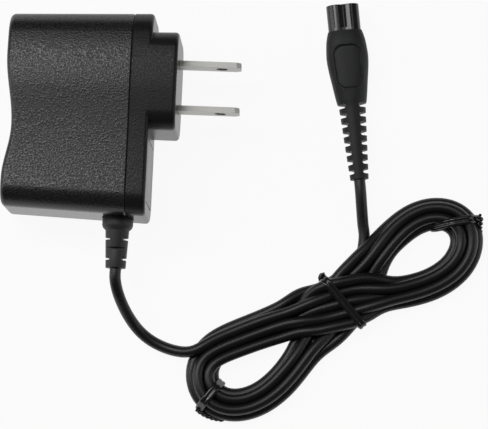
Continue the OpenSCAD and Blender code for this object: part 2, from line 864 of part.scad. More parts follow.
// A free stretch of cord, ending against the side of the hank
module lead(route, k, side) {
    color([0.09, 0.09, 0.09])
    difference() {
        tube(route, cord_r, [0, 0, 1]);
        hank_side(k, side);
    }
}

module adapter_lead() { lead(adapter_route, 4 * smooth_steps + 1, -1); }
module connector_lead() { lead(connector_route, 12 * smooth_steps + 1, 1); }

// A flat tie once round a bundle of the hank, square to the bundle
module tie(at, turn, w) {
    in_w = w + 2 * tie_gap;
    in_h = hank_h + tie_gap;
    color([0.07, 0.07, 0.07])
    translate([at[0], at[1], 0])
    rotate([0, 0, turn])
    difference() {
        translate([-tie_w / 2, -in_w / 2 - tie_t, 0])
            cube([tie_w, in_w + 2 * tie_t, in_h + 2 * tie_t]);
        translate([-tie_w, -in_w / 2, tie_t]) cube([2 * tie_w, in_w, in_h]);
    }
}

// Bearing of the hank's middle line at one of its route points
function bearing(k) =
    let (n = len(hank_route), d = hank_route[(k + 1) % n] - hank_route[(k + n - 1) % n])
    atan2(d[1], d[0]);
waist_bearing = (bearing(0) - 180 + bearing(waist_again)) / 2;
left_tie_point = 6;
right_tie_point = 16;

module middle_tie() { tie(waist, waist_bearing, waist_w); }
module left_tie() { tie(hank_route[left_tie_point], bearing(left_tie_point), bundle_w); }
module right_tie() { tie(hank_route[right_tie_point], bearing(right_tie_point), bundle_w); }

// ---------- connector ----------
// Drawn along +Y from its cord end, then turned into place
module at_connector() {
    translate([connector_end[0], connector_end[1], grip_t / 2])
        rotate([0, 0, connector_turn]) children();
}

nose_y = rib_tail_l + grip_l;
tail_w = 7.7;
tail_end_w = 5.2;
tail_t = 6.6;
tail_end_t = 4.8;

shoulder = 0.6;

// Sections of the moulding: place along Y, width and thickness
grip_sections = [[0, tail_end_w, tail_end_t],
                 [rib_tail_l, tail_w, tail_t],
                 [rib_tail_l + shoulder / 3, tail_w + shoulder, tail_t + shoulder],
                 [rib_tail_l + 0.2 * grip_l, tail_w + 1.8, 0.92 * grip_t],
                 [rib_tail_l + 0.4 * grip_l, 0.5 * (tail_w + 1.8 + grip_w), grip_t],
                 [rib_tail_l + 0.6 * grip_l, grip_w, grip_t],
                 [rib_tail_l + 0.74 * grip_l, grip_w, grip_t],
                 [rib_tail_l + 0.88 * grip_l, 0.93 * grip_w, 0.94 * grip_t],
                 [nose_y, 0.82 * grip_w, 0.8 * grip_t]];

// Rounded-square outline of one section
section_sides = 24;
roundness = 2.6;
function bulge(v) = sign(v) * pow(abs(v), 2 / roundness);
function section(s) =
    [for (i = [0:section_sides - 1])
        let (a = 360 * i / section_sides)
        [s[1] / 2 * bulge(cos(a)), s[0], s[2] / 2 * bulge(sin(a))]];

module moulding() {
    skin([for (s = grip_sections) section(s)]);
}

// One slot in each side of the tail, with a round bottom
module tail_slot(y) {
    for (side = [-1, 1]) {
        r = rib_slot_w / 2;
        translate([side * (rib_web / 2 + r), y, -grip_t]) {
            cylinder(h = 2 * grip_t, r = r, $fn = 24);
            translate([side > 0 ? 0 : -grip_w, -r, 0]) cube([grip_w, rib_slot_w, 2 * grip_t]);
        }
    }
}

module connector_grip() {
    pitch = rib_tail_l / rib_slots;
    pad_y = rib_tail_l + 0.58 * grip_l;
    pad_r = pad_w / 3;
    color([0.16, 0.17, 0.19])
    at_connector()
    difference() {
        moulding();
        for (k = [0:rib_slots - 1]) tail_slot(pitch * (k + 1) - rib_slot_w / 2);
        translate([0, pad_y, grip_t / 2 - pad_depth])
            linear_extrude(past) rounded_plate(pad_w, pad_l, pad_r);
    }
}

module nose_profile() {
    square([contact_pitch, 1.6 * lobe_r], center = true);
    for (side = [-1, 1]) translate([side * contact_pitch / 2, 0]) circle(lobe_r);
}

socket_r = contact_r + contact_wall;

module connector_nose() {
    color([0.12, 0.12, 0.13])
    at_connector()
    translate([0, nose_y + nose_l, 0])
    rotate([90, 0, 0])
    difference() {
        linear_extrude(nose_l) nose_profile();
        for (side = [-1, 1])
            translate([side * contact_pitch / 2, 0, -past])
                cylinder(h = contact_set + contact_l + past, r = socket_r + slip / 2);
    }
}

module connector_contacts() {
    color([0.8, 0.65, 0.3])
    at_connector()
    translate([0, nose_y + nose_l - contact_set, 0])
    rotate([90, 0, 0])
    for (side = [-1, 1])
        translate([side * contact_pitch / 2, 0, 0])
            difference() {
                cylinder(h = contact_l, r = socket_r);
                translate([0, 0, -past]) cylinder(h = contact_l + 2 * past, r = contact_r);
            }
}

rear_shell();
front_shell();
rating_label();
live_blade();
neutral_blade();
strain_relief();
circuit_board();
live_wire();
neutral_wire();
fusible_resistor();
filter_inductor();
rectifier_diodes();
input_capacitors();
transformer_core();
transformer_bobbin();
transformer_winding();
controller_chip();
optocoupler();
safety_capacitor();
output_diode();
output_capacitor();
positive_wire();
negative_wire();
adapter_lead();
cord_hank();
connector_lead();
middle_tie();
left_tie();
right_tie();
connector_grip();
connector_nose();
connector_contacts();
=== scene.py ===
# %% [markdown]
# # A beard trimmer's mains charger
# The charger is a black plug-in adapter lying on its broad side, a thin cord wound in a tied
# figure of eight, and the small connector that pushes into the trimmer.
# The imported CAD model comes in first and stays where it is: every new piece is built round it.

# %% Load the frame
import bpy, bmesh, math
import numpy as np
from mathutils import Vector, Matrix


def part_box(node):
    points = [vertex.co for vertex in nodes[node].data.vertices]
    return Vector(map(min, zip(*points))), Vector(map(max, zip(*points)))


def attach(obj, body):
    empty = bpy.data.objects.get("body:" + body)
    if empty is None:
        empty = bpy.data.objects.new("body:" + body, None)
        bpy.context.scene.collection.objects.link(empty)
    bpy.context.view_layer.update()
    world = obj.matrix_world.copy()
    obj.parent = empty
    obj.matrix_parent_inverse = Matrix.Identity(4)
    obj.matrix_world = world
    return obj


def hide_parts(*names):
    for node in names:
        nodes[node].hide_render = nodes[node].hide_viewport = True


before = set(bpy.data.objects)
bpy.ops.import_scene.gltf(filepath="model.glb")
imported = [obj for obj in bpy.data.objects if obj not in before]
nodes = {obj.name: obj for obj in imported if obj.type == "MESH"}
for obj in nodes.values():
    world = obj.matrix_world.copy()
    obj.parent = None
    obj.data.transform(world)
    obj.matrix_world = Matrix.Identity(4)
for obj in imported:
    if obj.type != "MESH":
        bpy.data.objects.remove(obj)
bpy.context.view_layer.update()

# %% [markdown]
# ## Camera
# A long lens looks almost straight down, a little from the cord's side, so the block's front face
# and the housing's lower end just show. The aim point, the direction towards the camera and the
# upward direction fix it completely.

# %% Camera
MM = 0.001
CAMERA_AWAY = 0.7
aim = Vector((34.14, -23.94, 0)) * MM
towards_camera = Vector((0.035, -0.1323, 0.9906)).normalized()
picture_up = Vector((-0.0384, 0.9903, 0.1336)).normalized()
picture_right = picture_up.cross(towards_camera).normalized()

camera_data = bpy.data.cameras.new("camera")
camera_data.lens = 182.2
camera_data.sensor_width = 36
camera_data.clip_start = 0.05
camera = bpy.data.objects.new("camera", camera_data)
bpy.context.scene.collection.objects.link(camera)
turn = Matrix((picture_right, towards_camera.cross(picture_right), towards_camera)).transposed()
camera.matrix_world = Matrix.Translation(aim + towards_camera * CAMERA_AWAY) @ turn.to_4x4()
bpy.context.scene.camera = camera
print("camera", [round(v, 3) for v in camera.location])

# %% [markdown]
# ## Helpers for pieces
# A piece is a mesh object at the origin with its place in its mesh, so its grain stays where it is.
# It rides on the one body, "root", and takes over from its CAD nodes. Moulded edges are softly
# rounded, so shading is smooth up to a given angle.

# %% Piece helpers
SAME_POINT = 1e-6

def make_object(name, mesh, replaces):
    """A piece on the one body, in place of the CAD nodes that it replaces."""
    piece = bpy.data.objects.new(name, mesh)
    bpy.context.scene.collection.objects.link(piece)
    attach(piece, "root")
    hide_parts(*replaces)
    return piece

def merge(bm, distance):
    bmesh.ops.remove_doubles(bm, verts=bm.verts, dist=distance)

def mesh_from(bm, name, smooth_angle):
    """The finished mesh of a piece in metres, shaded smooth up to an angle in degrees."""
    merge(bm, SAME_POINT)
    bmesh.ops.recalc_face_normals(bm, faces=bm.faces)
    mesh = bpy.data.meshes.new(name)
    bm.to_mesh(mesh)
    bm.free()
    mesh.shade_smooth()
    mesh.set_sharp_from_angle(angle=math.radians(smooth_angle))
    print(name, len(mesh.polygons), "faces")
    return mesh

def scale_to_metres(bm):
    bmesh.ops.scale(bm, vec=(MM, MM, MM), verts=bm.verts)

# %% [markdown]
# ## The cord's facts
# A thin round lead for a few watts: 3.2 mm across, limp, 1.1 m long. It leaves the adapter through
# the strain relief, droops to the table, and goes over the hank's left end. Then it runs five times
# round a figure of eight and leaves for the connector. The turn's points are the CAD's own. The leads
# start as in the CAD, and near the hank they follow its strands instead of its plain body.

# %% Cord facts
CORD_D = 3.2
HANK_ROUTE = [(62.7, -48.6), (54, -51.3), (45.5, -55), (35, -59.8), (27, -63.2), (23.8, -69),
              (25.5, -75.5), (31, -78.6), (38, -77.6), (46, -72), (54.5, -60.5), (62.7, -48.6),
              (69.5, -38.5), (76, -29.3), (82.5, -23.2), (90, -21.2), (96.2, -24), (98, -30.5),
              (94.3, -37.5), (86, -42.8), (74.5, -46)]
ADAPTER_LEAD = [(-0.35, -42.16, 14), (-0.35, -45.16, 14), (0.4, -48.5, 12.4), (1.8, -52, 9.4),
                (3.5, -55, 6.6), (6, -58.2, 4.2), (9, -60.8, 2.6), (13, -62.6, 1.9),
                (17, -63.3, 2.4), (20.5, -63.3, 3.6), (24.5, -62.2, 4.5)]
CONNECTOR_LEAD = [(66.4, -13.3, 4.2), (66.8, -16.27, 4.2), (67.2, -20, 3.6), (67.6, -23.5, 2.7),
                  (68.0, -27, 1.9), (68.0, -30, 1.7), (67.0, -33.2, 1.65), (65.2, -36.2, 1.65)]
print(len(HANK_ROUTE), "points round the hank")

# %% [markdown]
# ## Smooth lines
# A cord can't kink, so its route has to be a smooth curve. A Catmull-Rom spline passes through every
# given point, and a line with its points an even step apart is easy to push about afterwards.

# %% Line helpers
STEP = 1.5

def evenly(fine, step=STEP):
    """The same line with its points a step apart."""
    along = np.concatenate([[0], np.cumsum(np.linalg.norm(np.diff(fine, axis=0), axis=1))])
    places = np.linspace(0, along[-1], int(round(along[-1] / step)) + 1)
    return np.column_stack([np.interp(places, along, fine[:, i]) for i in range(fine.shape[1])])

def smooth_line(points, closed=False, parts=10):
    """Points STEP apart along a smooth curve through the given ones."""
    p = np.array(points, float)
    if closed:
        ends = np.vstack([p[-1:], p, p[:2]])
    else:
        ends = np.vstack([2 * p[0] - p[1], p, 2 * p[-1] - p[-2]])
    fine = []
    for k in range(len(ends) - 3):
        a, b, c, d = ends[k:k + 4]
        for t in np.arange(parts) / parts:
            fine.append((2 * b + (c - a) * t + (2 * a - 5 * b + 4 * c - d) * t * t
                         + (3 * b - a - 3 * c + d) * t ** 3) / 2)
    fine.append(p[0] if closed else p[-1])
    return evenly(np.array(fine))[:-1 if closed else None]

# %% One turn of the hank
TURN_START = (30, -61.9)
one_turn = smooth_line(HANK_ROUTE[::-1], closed=True)
start = int(np.argmin(np.linalg.norm(one_turn - TURN_START, axis=1)))
one_turn = np.roll(one_turn, -start, axis=0)
way = np.roll(one_turn, -1, 0) - np.roll(one_turn, 1, 0)
to_left = np.column_stack([-way[:, 1], way[:, 0]]) / np.linalg.norm(way, axis=1)[:, None]
print("one turn of the hank is", round(len(one_turn) * STEP), "mm")

# %% [markdown]
# ## Lanes of the hank
# In a wound hank each turn lies in a lane of its own: three strands side by side and two in the
# grooves on top. At the waist the turns cross, one flat band over the other, and at the left end
# every strand moves on to the next lane. A short table of lanes, as (share of a turn, side,
# height), says all of it, and the path is read from the table.

# %% Lanes
# height of the lowest strands, and what a crossing and a groove between two strands add to it
LOW, OVER, NEST = 1.75, 3.25, 2.74
# sideways places: at the left end for each turn, in the loops, and in the flat band at the waist
SHALLOW = [(3.3, NEST), (0, NEST), (-4.95, 0), (-1.65, 0), (1.65, 0), (4.95, 0)]
LOOP = [(1.65, NEST), (-1.65, NEST), (-3.3, 0), (0, 0), (3.3, 0)]
FLAT = [3.0, -3.0, -6.0, 0, 6.0]
# where on a turn the waist is crossed, and half the length of the flat band there
CROSSING, HALF_FLAT = (0.18, 0.66), 0.022
LAST_LANE = (5.14, 8.2, 0)
lanes = []
for k in range(len(LOOP)):
    lanes += [(k + 0.085, *SHALLOW[k]),
              (k + CROSSING[0] - HALF_FLAT, FLAT[k], OVER),
              (k + CROSSING[0] + HALF_FLAT, FLAT[k], OVER),
              (k + 0.275, *LOOP[k]), (k + 0.57, *LOOP[k]),
              (k + CROSSING[1] - HALF_FLAT, FLAT[k], 0),
              (k + CROSSING[1] + HALF_FLAT, FLAT[k], 0),
              (k + 0.76, *LOOP[k]), (k + 0.89, *LOOP[k])]
lanes = np.array(lanes + [(len(LOOP) + 0.07, *SHALLOW[-1]), LAST_LANE])
print(len(lanes), "places in the table of lanes")

# %% Laid path
WOUND_FROM, WOUND_TURNS = 8, 5.15
WAY_OUT = [(59.6, -42.6, LOW), (62.6, -39.6, LOW)]
turns = np.arange(WOUND_FROM, int(WOUND_TURNS * len(one_turn)))
share = turns / len(one_turn)
k = np.clip(np.searchsorted(lanes[:, 0], share) - 1, 0, len(lanes) - 2)
t = np.clip((share - lanes[k, 0]) / (lanes[k + 1, 0] - lanes[k, 0]), 0, 1)
t = (t * t * (3 - 2 * t))[:, None]
lane = lanes[k, 1:] * (1 - t) + lanes[k + 1, 1:] * t
where = turns % len(one_turn)
wound = np.column_stack([one_turn[where] + to_left[where] * lane[:, :1], LOW + lane[:, 1]])

lead_in = smooth_line(ADAPTER_LEAD)
lead_out = smooth_line(CONNECTOR_LEAD)[::-1]
join_in = smooth_line([lead_in[-2], lead_in[-1], wound[0], wound[1]])[1:-1]
join_out = smooth_line([wound[-2], wound[-1], *WAY_OUT, lead_out[0], lead_out[1]])[1:-1]
laid = evenly(np.vstack([lead_in[:-2], join_in, wound[1:-1], join_out, lead_out[1:]]))
print(len(laid), "points, before the strands settle")

# %% [markdown]
# ## Settling the strands
# Real strands can't pass through each other: they push apart, bend evenly, rest on the table or on
# each other, and the ties hold them in. A few hundred small rounds of those four rules settle the
# laid path. It has no random part, so it gives the same hank every time.

# %% Rules of settling
NEAR, CONTACT = 1.7, 1.01                   # in cord diameters: strands to look at, strands that touch
PUSH, DRAW, CROWD = 0.45, 0.02, 1.6         # undone overlap, closed gap, and how many pushes add up
SMOOTHINGS, STIFFNESS = 6, 0.45
TIES = np.array([(62.75, -48.43), (25.5, -75.5), (96.2, -24.0)])
TIE_LIFT, TIE_SPREAD = 0.75, 7              # a tie under the strands lifts them a little
WAIST_TURN = math.radians(35)
WAIST_REACH, WAIST_FLAT, WAIST_FLARE, WAIST_LONG, WAIST_PULL = 6.7, 3, 0.45, 20, 0.3
waist_way = np.array([math.cos(WAIST_TURN), math.sin(WAIST_TURN)])
waist_side = np.array([-waist_way[1], waist_way[0]])

def push_apart(x, i, j):
    """Strands that overlap move apart, and strands that nearly touch draw together."""
    gap = x[i] - x[j]
    square = np.einsum("ij,ij->i", gap, gap)
    close = square < (NEAR * CORD_D) ** 2
    length = np.sqrt(square[close]) + 1e-6
    short = CONTACT * CORD_D - length
    push = gap[close] / length[:, None] * np.where(short > 0, PUSH, DRAW)[:, None] * short[:, None]
    total, count = np.zeros_like(x), np.zeros(len(x))
    for ends, sign in ((i[close], 1), (j[close], -1)):
        np.add.at(total, ends, sign * push)
        np.add.at(count, ends, short > 0)
    return x + total / np.maximum(1, count / CROWD)[:, None]

def bend_evenly(x):
    """The jacket's stiffness shares each bend with its neighbours."""
    for _ in range(SMOOTHINGS):
        bend = np.zeros_like(x)
        bend[1:-1] = (x[:-2] + x[2:]) / 2 - x[1:-1]
        x[1:-1] -= STIFFNESS * ((bend[:-2] + bend[2:]) / 2 - bend[1:-1])

def hold_waist(x):
    """The middle tie keeps the strands in a narrow band, which widens away from it."""
    along, across = (x[:, :2] - TIES[0]) @ waist_way, (x[:, :2] - TIES[0]) @ waist_side
    reach = WAIST_REACH + np.maximum(0, np.abs(along) - WAIST_FLAT) * WAIST_FLARE
    back = np.where(np.abs(along) < WAIST_LONG, np.clip(across, -reach, reach) - across, 0)
    x[:, :2] += waist_side * (WAIST_PULL * back)[:, None]

def resting_height(x):
    """The least height of a strand's middle: half its own thickness, and a tie's under it."""
    away = np.linalg.norm(x[:, None, :2] - TIES[None], axis=2).min(1)
    return CORD_D / 2 + TIE_LIFT * np.exp(-(away / TIE_SPREAD) ** 2)

print(len(TIES), "ties hold the strands")

# %% Settle
ROUNDS, EASE = 420, 0.7                     # the pull back to the laid path eases off by this share
PULL_BACK = (0.06, 0.06, 0.02)
APART = 8                                   # points nearer along the cord than this don't push
HELD_IN, HELD_OUT = 14, 10                  # points held fast in the relief and at the connector

def settle(points):
    x = points.copy()
    i, j = np.triu_indices(len(x), APART)
    held = np.zeros(len(x), bool)
    held[:HELD_IN] = held[-HELD_OUT:] = True
    fixed = x[held].copy()
    for step in range(ROUNDS):
        x = push_apart(x, i, j)
        x += (points - x) * PULL_BACK * (1 - EASE * step / ROUNDS)
        bend_evenly(x)
        hold_waist(x)
        x[:, 2] = np.maximum(x[:, 2], resting_height(x))
        x[held] = fixed
    return x

cord_line = settle(laid)
cord_length = float(np.linalg.norm(np.diff(cord_line, axis=0), axis=1).sum())
print("the cord is", round(cord_length), "mm long")

# %% [markdown]
# ## The cord
# An extruded jacket has the same round section all along. One open curve with automatic handles
# gives a smooth centreline, and its round bevel gives the jacket. It is then made a mesh, like the
# other pieces.

# %% Curve helper
MERGE = 1e-3

def curve_mesh(name, lines, radius=0.0, outline=None, closed=False, flat=False):
    """A mesh swept along lines in millimetres, with a round section or a closed outline."""
    data = bpy.data.curves.new(name, "CURVE")
    data.dimensions = "2D" if flat else "3D"
    for line in lines:
        spline = data.splines.new("BEZIER")
        spline.bezier_points.add(len(line) - 1)
        for bezier, p in zip(spline.bezier_points, line):
            bezier.co = [float(v) for v in p]
            bezier.handle_left_type = bezier.handle_right_type = "AUTO"
        spline.use_cyclic_u = closed
        spline.resolution_u = 2
    work = [bpy.data.objects.new(name, data)]
    if outline is None:
        data.bevel_depth, data.bevel_resolution, data.use_fill_caps = radius, 5, True
    else:
        section = bpy.data.curves.new("section", "CURVE")
        section.dimensions = "2D"
        spline = section.splines.new("POLY")
        spline.points.add(len(outline) - 1)
        for point, (x, y) in zip(spline.points, outline):
            point.co = (x, y, 0, 1)
        spline.use_cyclic_u = True
        work.append(bpy.data.objects.new("section", section))
        bpy.context.scene.collection.objects.link(work[1])
        data.bevel_mode, data.bevel_object = "OBJECT", work[1]
    bpy.context.scene.collection.objects.link(work[0])
    bpy.context.view_layer.update()
    view = bpy.context.evaluated_depsgraph_get()
    bm = bmesh.new()
    bm.from_mesh(bpy.data.meshes.new_from_object(work[0].evaluated_get(view)))
    for o in work:
        bpy.data.objects.remove(o)
    merge(bm, MERGE)
    return bm

print("lines are swept in millimetres and merged within", MERGE)

# %% Cord
CORD_SPACING = 2.6
cord_points = evenly(cord_line, CORD_SPACING)
bm = curve_mesh("cord", [cord_points], radius=CORD_D / 2)
scale_to_metres(bm)
cord = make_object("cord", mesh_from(bm, "cord", 60),
                   ["adapter_lead", "cord_hank", "connector_lead"])
print(len(cord_points), "points on the cord")

# %% [markdown]
# ## Twist ties
# Each tie is a strip of soft black plastic over two wires. It goes once round the bundle, tight on
# the strands, and its ends are twisted together. The strands' crossings with an upright plane give
# the loop: the tie is their outer hull, a little clear of them, swept with a two-wire outline.

# %% Crossings of a bundle
STEEPEST = 0.5

def hull(points):
    """Convex outline of flat points, in order."""
    points = sorted(set((round(float(x), 4), round(float(y), 4)) for x, y in points))
    def half(row):
        kept = []
        for p in row:
            while len(kept) > 1 and ((kept[-1][0] - kept[-2][0]) * (p[1] - kept[-2][1])
                                     <= (kept[-1][1] - kept[-2][1]) * (p[0] - kept[-2][0])):
                kept.pop()
            kept.append(p)
        return kept[:-1]
    return np.array(half(points) + half(points[::-1]))

def crossings(place, bearing, reach):
    """Strands cut by the upright plane across a bundle: offset, height and half width of each."""
    forward = np.array([math.cos(bearing), math.sin(bearing), 0])
    across = np.array([-math.sin(bearing), math.cos(bearing), 0])
    offset = (cord_line - (*place, 0)) @ forward
    found = []
    for k in np.nonzero(offset[:-1] * offset[1:] < 0)[0]:
        p = cord_line[k] + (cord_line[k + 1] - cord_line[k]) * offset[k] / (offset[k] - offset[k + 1])
        way = (cord_line[k + 1] - cord_line[k]) / np.linalg.norm(cord_line[k + 1] - cord_line[k])
        side = float((p - (*place, 0)) @ across)
        if abs(side) < reach:
            found.append((side, float(p[2]), CORD_D / 2 / max(STEEPEST, abs(float(way @ forward)))))
    return found

print("a slanted strand counts as up to", 1 / STEEPEST, "times as wide")

# %% Tie band
TIE_HALF_THICK, TIE_CLEAR, TIE_LEAST, TIE_STEP = 0.33, 0.06, 0.09, 0.9
WIRE_PLACE, WIRE_HALF = 0.62, 0.58
angles = np.radians(np.arange(-140, 141, 20))
lobe = np.column_stack([TIE_HALF_THICK * np.sin(angles), WIRE_PLACE + WIRE_HALF * np.cos(angles)])
TIE_OUTLINE = np.vstack([lobe, lobe * (-1, -1)])

def tie_loop(place, bearing, reach):
    """The band of a tie, in millimetres."""
    strands = crossings(place, bearing, reach)
    round_about = np.radians(np.arange(0, 360, 10))
    out = TIE_HALF_THICK + TIE_CLEAR
    ring = [(side + (wide + out) * math.cos(a), height + (CORD_D / 2 + out) * math.sin(a))
            for side, height, wide in strands for a in round_about]
    line = hull(ring)
    line[:, 1] = np.maximum(line[:, 1], TIE_HALF_THICK + TIE_LEAST)
    line = evenly(np.vstack([line, line[:1]]), TIE_STEP)[:-1]
    bm = curve_mesh("tie", [[(x, y, 0) for x, y in line]], outline=TIE_OUTLINE, closed=True,
                    flat=True)
    across = Vector((-math.sin(bearing), math.cos(bearing), 0))
    up = Vector((0, 0, 1))
    turn = Matrix((across, up, across.cross(up))).transposed().to_4x4()
    bmesh.ops.transform(bm, matrix=Matrix.Translation((*place, 0)) @ turn, verts=bm.verts)
    print(len(strands), "strands in a tie, from", [round(float(v), 2) for v in line.min(0)],
          "to", [round(float(v), 2) for v in line.max(0)])
    return bm

print("a tie's strip is", round(2 * (WIRE_PLACE + WIRE_HALF), 1), "mm wide")

# %% Twisted ends
TWIST_STRAND, TWIST_PITCH, TWIST_STEP = 0.42, 2.6, 0.35
NEARLY_UP = (0.05, 0.1, 1.0)

def twisted_end(points):
    """Two strip ends wound round each other along a line."""
    middle = evenly(smooth_line(points), TWIST_STEP)
    way = np.gradient(middle, axis=0)
    way /= np.linalg.norm(way, axis=1)[:, None]
    side = np.cross(way, NEARLY_UP)
    side /= np.linalg.norm(side, axis=1)[:, None]
    up = np.cross(side, way)
    turn = (np.arange(len(middle)) * TWIST_STEP / TWIST_PITCH * 2 * math.pi)[:, None]
    lines = [middle + TWIST_STRAND * (np.cos(turn + start) * side + np.sin(turn + start) * up)
             for start in (0, math.pi)]
    return curve_mesh("twist", lines, radius=TWIST_STRAND)

def add_to(bm, other):
    """Adds the second mesh to the first, without joining their surfaces."""
    extra = bpy.data.meshes.new("extra")
    other.to_mesh(extra)
    other.free()
    bm.from_mesh(extra)
    bpy.data.meshes.remove(extra)

print("the strip ends turn once every", TWIST_PITCH, "mm")

# %% Ties
# for each tie its place, its bearing in degrees, how far it reaches, and the line of its ends
TIE_FACTS = {
    "middle_tie": ((63.1, -48.4), 42.5, 11,
                   [(57.6, -41.0, 6.4), (56.6, -41.2, 4.6), (56.9, -42.4, 2.6), (58.3, -43.2, 1.4)]),
    "left_tie": ((26.6, -76.2), -37, 9,
                 [(23.4, -79.6, 3.2), (25.6, -81.0, 2.2), (28.4, -81.9, 1.5), (31.2, -82.1, 1.1)]),
    "right_tie": ((96.2, -24.0), -78, 9,
                  [(100.2, -22.4, 5.4), (100.8, -23.7, 4.6), (100.6, -25.2, 3.4),
                   (100.8, -26.6, 2.2)])}
ties = []
for name, (place, bearing, reach, end_points) in TIE_FACTS.items():
    bm = tie_loop(place, math.radians(bearing), reach)
    add_to(bm, twisted_end(end_points))
    scale_to_metres(bm)
    ties.append(make_object(name + "_strip", mesh_from(bm, name + "_strip", 50), [name]))
print([tie.name for tie in ties])

# %% [markdown]
# ## Housing sizes
# The shells take their outer measures from the CAD nodes, so they stay in the same box.

# %% Housing sizes
rear_low, rear_high = [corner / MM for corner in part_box("rear_shell")]
front_low, front_high = [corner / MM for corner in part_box("front_shell")]
label_low, label_high = [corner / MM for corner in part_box("rating_label")]
blade_boxes = [[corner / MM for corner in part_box(name)] for name in ("live_blade", "neutral_blade")]
BACK, SEAM, BLOCK = rear_low.x, rear_high.x, front_high.x
FRONT = label_high.x
HALF, THICK, WALL = front_high.y, rear_high.z, 2.0
EDGE_R, BACK_R, RIM_R, SEAM_CHAMFER = 6.0, 1.5, 1.1, 0.28
BLOCK_LOW, BLOCK_HIGH, BLOCK_R, BLOCK_WALL = -4.4, 23.0, 5.0, 2.4
print("housing from", round(BACK, 2), "by", round(SEAM, 2), "and", round(FRONT, 2),
      "to", round(BLOCK, 2))

# %% [markdown]
# ## Draft, finger hollow and wave
# The shells taper towards the back, so that they slide out of the mould. The back has a long hollow
# for the fingers, and the broad sides aren't quite flat: they rise and fall a little from one end to
# the other, which gives their sheen its bands. Each is a formula for how far a point moves. For the
# sides it starts from the slope at a few heights, because slope is what the eye reads in a sheen.
# The CAD shells have the draft and the hollow but not the wave, which was shaped after them.

# %% Draft, hollow and wave
DRAFT, HOUSING_LONG = 1.4, FRONT - BACK
GRIP_DEPTH, GRIP_LOW, GRIP_UP, GRIP_DOWN = 2.1, -5.0, 21, 16
SIDE_TILTS = [(-28, 0.04), (-22, 0.04), (4, -0.08), (14, 0.04), (18, 0.1), (22, 0.2), (28, 0.2)]
DIP_STEP, FADE_FROM, FADE_OVER = 0.25, 4, 8

def half_height(x):
    return HALF - DRAFT * (FRONT - x) / HOUSING_LONG

def hollow(y):
    """How far the finger hollow goes in at a height y."""
    t = (y - GRIP_LOW) / (GRIP_UP if y > GRIP_LOW else -GRIP_DOWN)
    return 0 if t >= 1 else GRIP_DEPTH * (1 + math.cos(math.pi * t)) / 2

dip_places = np.arange(-28, 28.1, DIP_STEP)
dips = np.cumsum(np.interp(dip_places, *zip(*SIDE_TILTS))) * DIP_STEP
dips -= dips.min()

def side_dip(y):
    """How far each broad side lies below its crest at a height y."""
    return float(np.interp(y, dip_places, dips))

def soften_sides(bm):
    """Tapers the ends of a shell and gives its broad sides their wave, fading out on the edges."""
    for v in bm.verts:
        v.co.y *= half_height(v.co.x) / HALF
        fade = min(1, max(0, (abs(v.co.z - THICK / 2) - FADE_FROM) / FADE_OVER))
        v.co.z -= math.copysign(side_dip(v.co.y) * fade, v.co.z - THICK / 2)

print("the broad sides dip by up to", round(float(dips.max()), 2), "mm")

# %% [markdown]
# ## Solid helpers
# Boxes, rods and their rounded edges come from the create and bevel operators. A Boolean step
# joins two closed shapes or takes one from the other, as a mould maker would with steel.

# %% Solid helpers
FINE_MERGE = 1e-4

def box_mesh(low, high):
    """A box between two corners."""
    bm = bmesh.new()
    low, high = Vector(low), Vector(high)
    bmesh.ops.create_cube(bm, size=1)
    bmesh.ops.scale(bm, vec=high - low, verts=bm.verts)
    bmesh.ops.translate(bm, vec=(high + low) / 2, verts=bm.verts)
    return bm

def rod_mesh(radius, low, high, sides=48):
    """A round rod between two points."""
    bm = bmesh.new()
    low, high = Vector(low), Vector(high)
    bmesh.ops.create_cone(bm, cap_ends=True, segments=sides, radius1=radius, radius2=radius,
                          depth=(high - low).length)
    turn = Vector((0, 0, 1)).rotation_difference(high - low).to_matrix()
    bmesh.ops.rotate(bm, cent=(0, 0, 0), matrix=turn, verts=bm.verts)
    bmesh.ops.translate(bm, vec=(high + low) / 2, verts=bm.verts)
    return bm

def edges_where(bm, test):
    return [e for e in bm.edges if test(*(v.co for v in e.verts))]

def along_x(a, b):
    return abs(a.x - b.x) > 1

def round_edges(bm, edges, radius, segments):
    """Rounds edges, or chamfers them with one segment."""
    bmesh.ops.bevel(bm, geom=edges, offset=radius, offset_type="OFFSET", affect="EDGES",
                    segments=segments, profile=0.5, material=-1, clamp_overlap=True)

def cut_across(bm, axis, places):
    """Cuts a shape along planes across an axis, so that its points can be moved there."""
    normal = Vector((0, 0, 0))
    normal[axis] = 1
    for place in places:
        bmesh.ops.bisect_plane(bm, geom=bm.verts[:] + bm.edges[:] + bm.faces[:],
                               plane_co=normal * place, plane_no=normal, dist=FINE_MERGE)

print("solids are worked in millimetres")

# %% Modifier helpers
def worked(bm, kind, **settings):
    """The mesh that one modifier step leaves."""
    mesh = bpy.data.meshes.new("work")
    bm.to_mesh(mesh)
    bm.free()
    work = bpy.data.objects.new("work", mesh)
    bpy.context.scene.collection.objects.link(work)
    step = work.modifiers.new("step", kind)
    for setting, value in settings.items():
        setattr(step, setting, value)
    bpy.context.view_layer.update()
    view = bpy.context.evaluated_depsgraph_get()
    result = bmesh.new()
    result.from_mesh(bpy.data.meshes.new_from_object(work.evaluated_get(view)))
    bpy.data.objects.remove(work)
    return result

def combined(bm, other, operation="DIFFERENCE"):
    """The first mesh joined with the second, or cut by it."""
    mesh = bpy.data.meshes.new("tool")
    other.to_mesh(mesh)
    other.free()
    tool = bpy.data.objects.new("tool", mesh)
    bpy.context.scene.collection.objects.link(tool)
    result = worked(bm, "BOOLEAN", operation=operation, object=tool, solver="EXACT")
    bpy.data.objects.remove(tool)
    return result

def tidy_faces(bm):
    """Merges the slivers that a Boolean step leaves in flat places."""
    merge(bm, FINE_MERGE)
    bmesh.ops.dissolve_limit(bm, angle_limit=math.radians(0.5), verts=bm.verts, edges=bm.edges)

